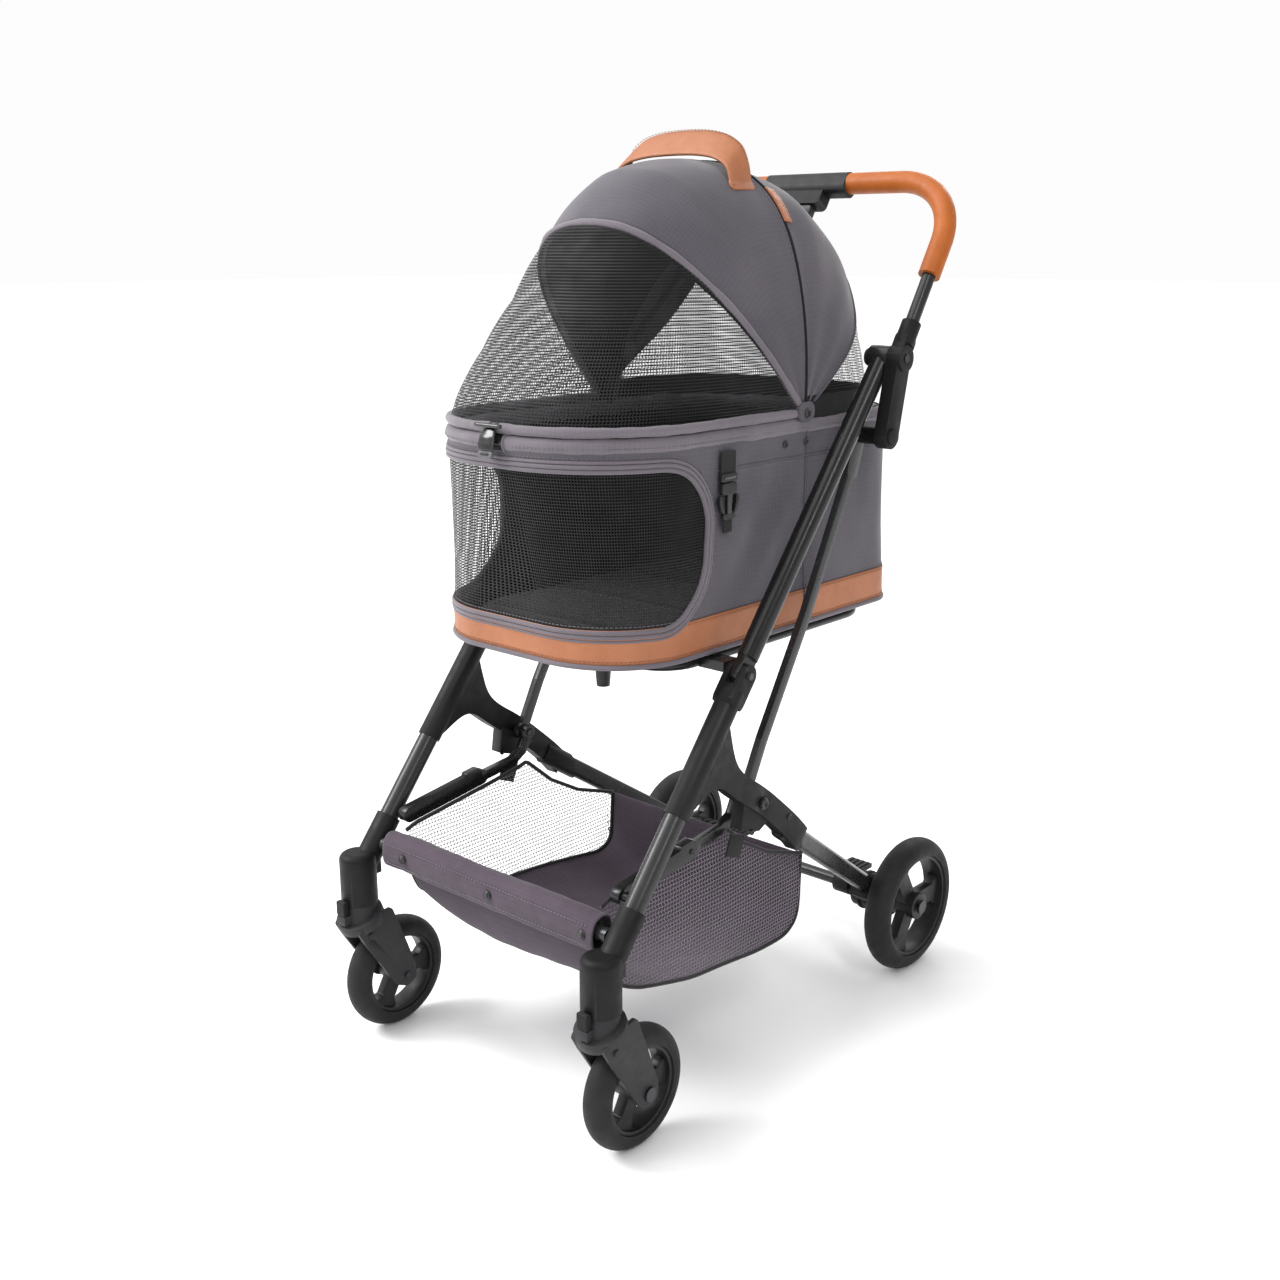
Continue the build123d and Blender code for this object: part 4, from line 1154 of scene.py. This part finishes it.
def make_basket_sleeve():
    """Cloth sleeve round the front crossbar, closed by three snaps."""
    low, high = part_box("front_crossbar")
    y, z = (low.y + high.y) * 500 - AXLE_Y, (low.z + high.z) * 500
    xs = np.linspace(-173, 173, 120)
    turns = np.linspace(0, 2 * math.pi, 40)
    x, turn = np.meshgrid(xs, turns)
    spot = np.stack([x, turn * 25, 0 * x], -1)
    wide = 15.5 + 0.8 * ripple(spot, 60) + 0.35 * ripple(spot + 70, 18)
    tall = 22 + 1.2 * ripple(spot + 500, 70) + 0.4 * ripple(spot + 170, 16)
    round_y, round_z = (np.abs(part) ** 0.8 * np.sign(part) for part in (np.cos(turn), np.sin(turn)))
    grid = np.stack([x, y + 3 + wide * round_y, z - 3 + tall * round_z], -1)
    uv = np.stack([x, turn * 19], -1)
    sleeve = thicken(sheet("basket_sleeve", grid, uv, None, M_BASKET, True), 1.3)
    ride(sleeve, "base", "basket_fabric")
    rows = [[(x, y + 3 - 15.2, z + drop) for x in np.linspace(-166, 166, 60)] for drop in (-14, 9)]
    ride(stitches("basket_stitching", rows, M_THREAD), "base", "basket_fabric")
    snaps = []
    for x in (-135, 12, 158):
        snaps.append(([(x, y - 12.5, z - 2), (x, y - 14.8, z - 2)], 5.2, False))
        snaps.append(([(x, y - 14.5, z - 2), (x, y - 16.0, z - 2)], 3.4, False))
    ride(tubes("basket_snaps", snaps, M_PLASTIC, 20, 1), "base", "small_plastic")


def make_basket_sides(sling_edges):
    """Sheer side walls from the rails down to the sling, with dark piping along both edges."""
    pitch, hole = 5.0, 0.8
    ys = np.arange(-4, 358, pitch)
    edges = []
    for name, side in (("left", 1), ("right", -1)):
        edge = sling_edges[side]
        heights = np.arange(100, 306, pitch)
        y, z = np.meshgrid(ys, heights)
        y = y + 0.25 * pitch * alternate(heights)
        low, high = np.interp(y, edge[:, 1], edge[:, 2]), basket_top(y)
        inside = ((z > low) & (z < high)).astype(float)
        keep = centres(inside) > 0
        z = np.clip(z, low, high)
        belly = np.clip((z - low) / np.maximum(high - low, 1), 0, 1)
        spot = np.stack([y, z, 0 * y], -1)
        x = side * (159 + 3.5 * np.sin(math.pi * belly) + 0.8 * ripple(spot, 60))
        grid = np.stack([x, y, z], -1)
        wall = net(f"{name}_basket_net", grid, np.stack([y, z], -1), keep, M_SHEER, hole, side > 0)
        ride(wall, "base", "mesh")
        edges.append((edge + (side * 1.0, 0, 0), 2.6, False))
        top = np.linspace(-4, 358, 90)
        edges.append((np.column_stack([np.full(90, side * 160), top, basket_top(top)]), 2.6, False))
    ride(tubes("basket_piping", edges, M_TRIM, 8), "base", "basket_fabric")


# ---------------------------------------------------------------- fittings, lights and camera

# Bolt heads as distance out from the middle, Y, Z and radius
BOLTS = [(212, 210, 335, 6.0), (205, 196, 303, 3.4), (209, 262, 303, 3.6), (180, 16, 281, 4.0),
         (180, 121, 296, 3.2)]
UPPER_BOLTS = [(213, 176.7, 492, 4.5)]


def make_fittings():
    """Bolt heads and the webbing tabs on the frame."""
    for side, name in ((1, "left"), (-1, "right")):
        fixed = [((side * out, y, z), radius, 2.2, side) for out, y, z, radius in BOLTS]
        ride(bolt_heads(f"{name}_frame_bolts", fixed), "base", "bolts")
        upper = [((side * out, y, z), radius, 1.8, side) for out, y, z, radius in UPPER_BOLTS]
        ride(bolt_heads(f"{name}_upper_bolts", upper), "upper_frame", "bolts")
    tabs = []
    for side in (1, -1):
        outline = [(181, 300), (206, 292), (197, 266), (172, 276)]
        outline = outline if side > 0 else outline[::-1]
        tabs.append(plate("rail_tab", outline, 2.4, M_WEBBING, (side * 187, 0, 0), (0, 1, 0), (0, 0, 1), 0.6))
    ride(merged("rail_tabs", tabs), "base", "basket_fabric")


FLOOR_HALF = 40.0


def make_stage():
    floor = bpy.data.meshes.new("floor")
    corners = [(FLOOR_HALF * x, FLOOR_HALF * y, 0) for x, y in ((-1, -1), (1, -1), (1, 1), (-1, 1))]
    floor.from_pydata(corners, [], [(0, 1, 2, 3)])
    material, _, shader = nodes_of("pale_floor")
    shader.inputs["Base Color"].default_value = (0.98, 0.98, 0.98, 1)
    shader.inputs["Roughness"].default_value = 0.9
    floor.materials.append(material)
    add_object("floor", floor)


def aim(name, light, location, direction):
    obj = add_object(name, light)
    obj.location = location
    obj.rotation_mode = "QUATERNION"
    obj.rotation_quaternion = Vector(direction).to_track_quat("-Z", "Y")


def area_light(name, location, target, size, energy):
    light = bpy.data.lights.new(name, "AREA")
    light.shape = "RECTANGLE"
    light.size, light.size_y = size
    light.energy = energy
    aim(name, light, location, Vector(target) - Vector(location))


def studio_world():
    """Even white surroundings that are a little darker on the stroller's left."""
    world = bpy.data.worlds.new("studio")
    bpy.context.scene.world = world
    world.use_nodes = True
    tree = world.node_tree
    split = add_node(tree, "SeparateXYZ", Vector=coordinates(tree, "Generated"))
    glow = add_node(tree, "MapRange", From_Min=-0.25, From_Max=0.6, To_Min=0.98, To_Max=0.55,
                    Value=split.outputs["X"])
    glow.interpolation_type = "SMOOTHSTEP"
    tree.links.new(glow.outputs["Result"], tree.nodes["Background"].inputs["Strength"])
    tree.nodes["Background"].inputs["Color"].default_value = (1, 1, 1, 1)


def make_lights():
    studio_world()
    middle = (0, 0, 0.6)
    area_light("key", (-2.0, -1.8, 2.6), middle, (1.2, 1.6), 80)
    area_light("strip", (2.3, -1.1, 2.5), middle, (0.18, 2.0), 28)
    area_light("back", (-0.6, 2.6, 2.2), middle, (1.6, 1.0), 20)
    sun = bpy.data.lights.new("sky", "SUN")
    sun.energy = 1.5
    sun.angle = math.radians(55)
    aim("sky", sun, (0, 0, 0), (0.4, 0.35, -0.85))


# Camera place in metres, azimuth, elevation and roll in degrees, and lens in millimetres
CAMERA_PLACE = (1.1377, -1.3177, 0.9402)
CAMERA_ANGLES = (41.79, 14.99, -0.136)
CAMERA_LENS = 41.18


def make_camera():
    """Camera at the photograph's angle."""
    azimuth, elevation, roll_angle = (math.radians(x) for x in CAMERA_ANGLES)
    flat = math.cos(elevation)
    back = Vector((math.sin(azimuth) * flat, -math.cos(azimuth) * flat, math.sin(elevation)))
    right = Vector((math.cos(azimuth), math.sin(azimuth), 0))
    up = back.cross(right)
    side = right * math.cos(roll_angle) + up * math.sin(roll_angle)
    top = up * math.cos(roll_angle) - right * math.sin(roll_angle)
    camera = bpy.data.cameras.new("camera")
    camera.lens = CAMERA_LENS
    camera.sensor_width = 36
    obj = add_object("camera", camera)
    rotation = Matrix((side, top, back)).transposed()
    obj.matrix_world = Matrix.Translation(CAMERA_PLACE) @ rotation.to_4x4()
    bpy.context.scene.camera = obj
    bpy.context.scene.view_settings.view_transform = "Standard"


make_camera()
finish_cad()
make_tub()
make_rims()
make_lining()
make_mat()
make_hood()
make_hood_nets()
make_strap()
make_tag()
make_latch()
make_buckles()
make_tether()
make_basket()
make_fittings()
make_stage()
make_lights()
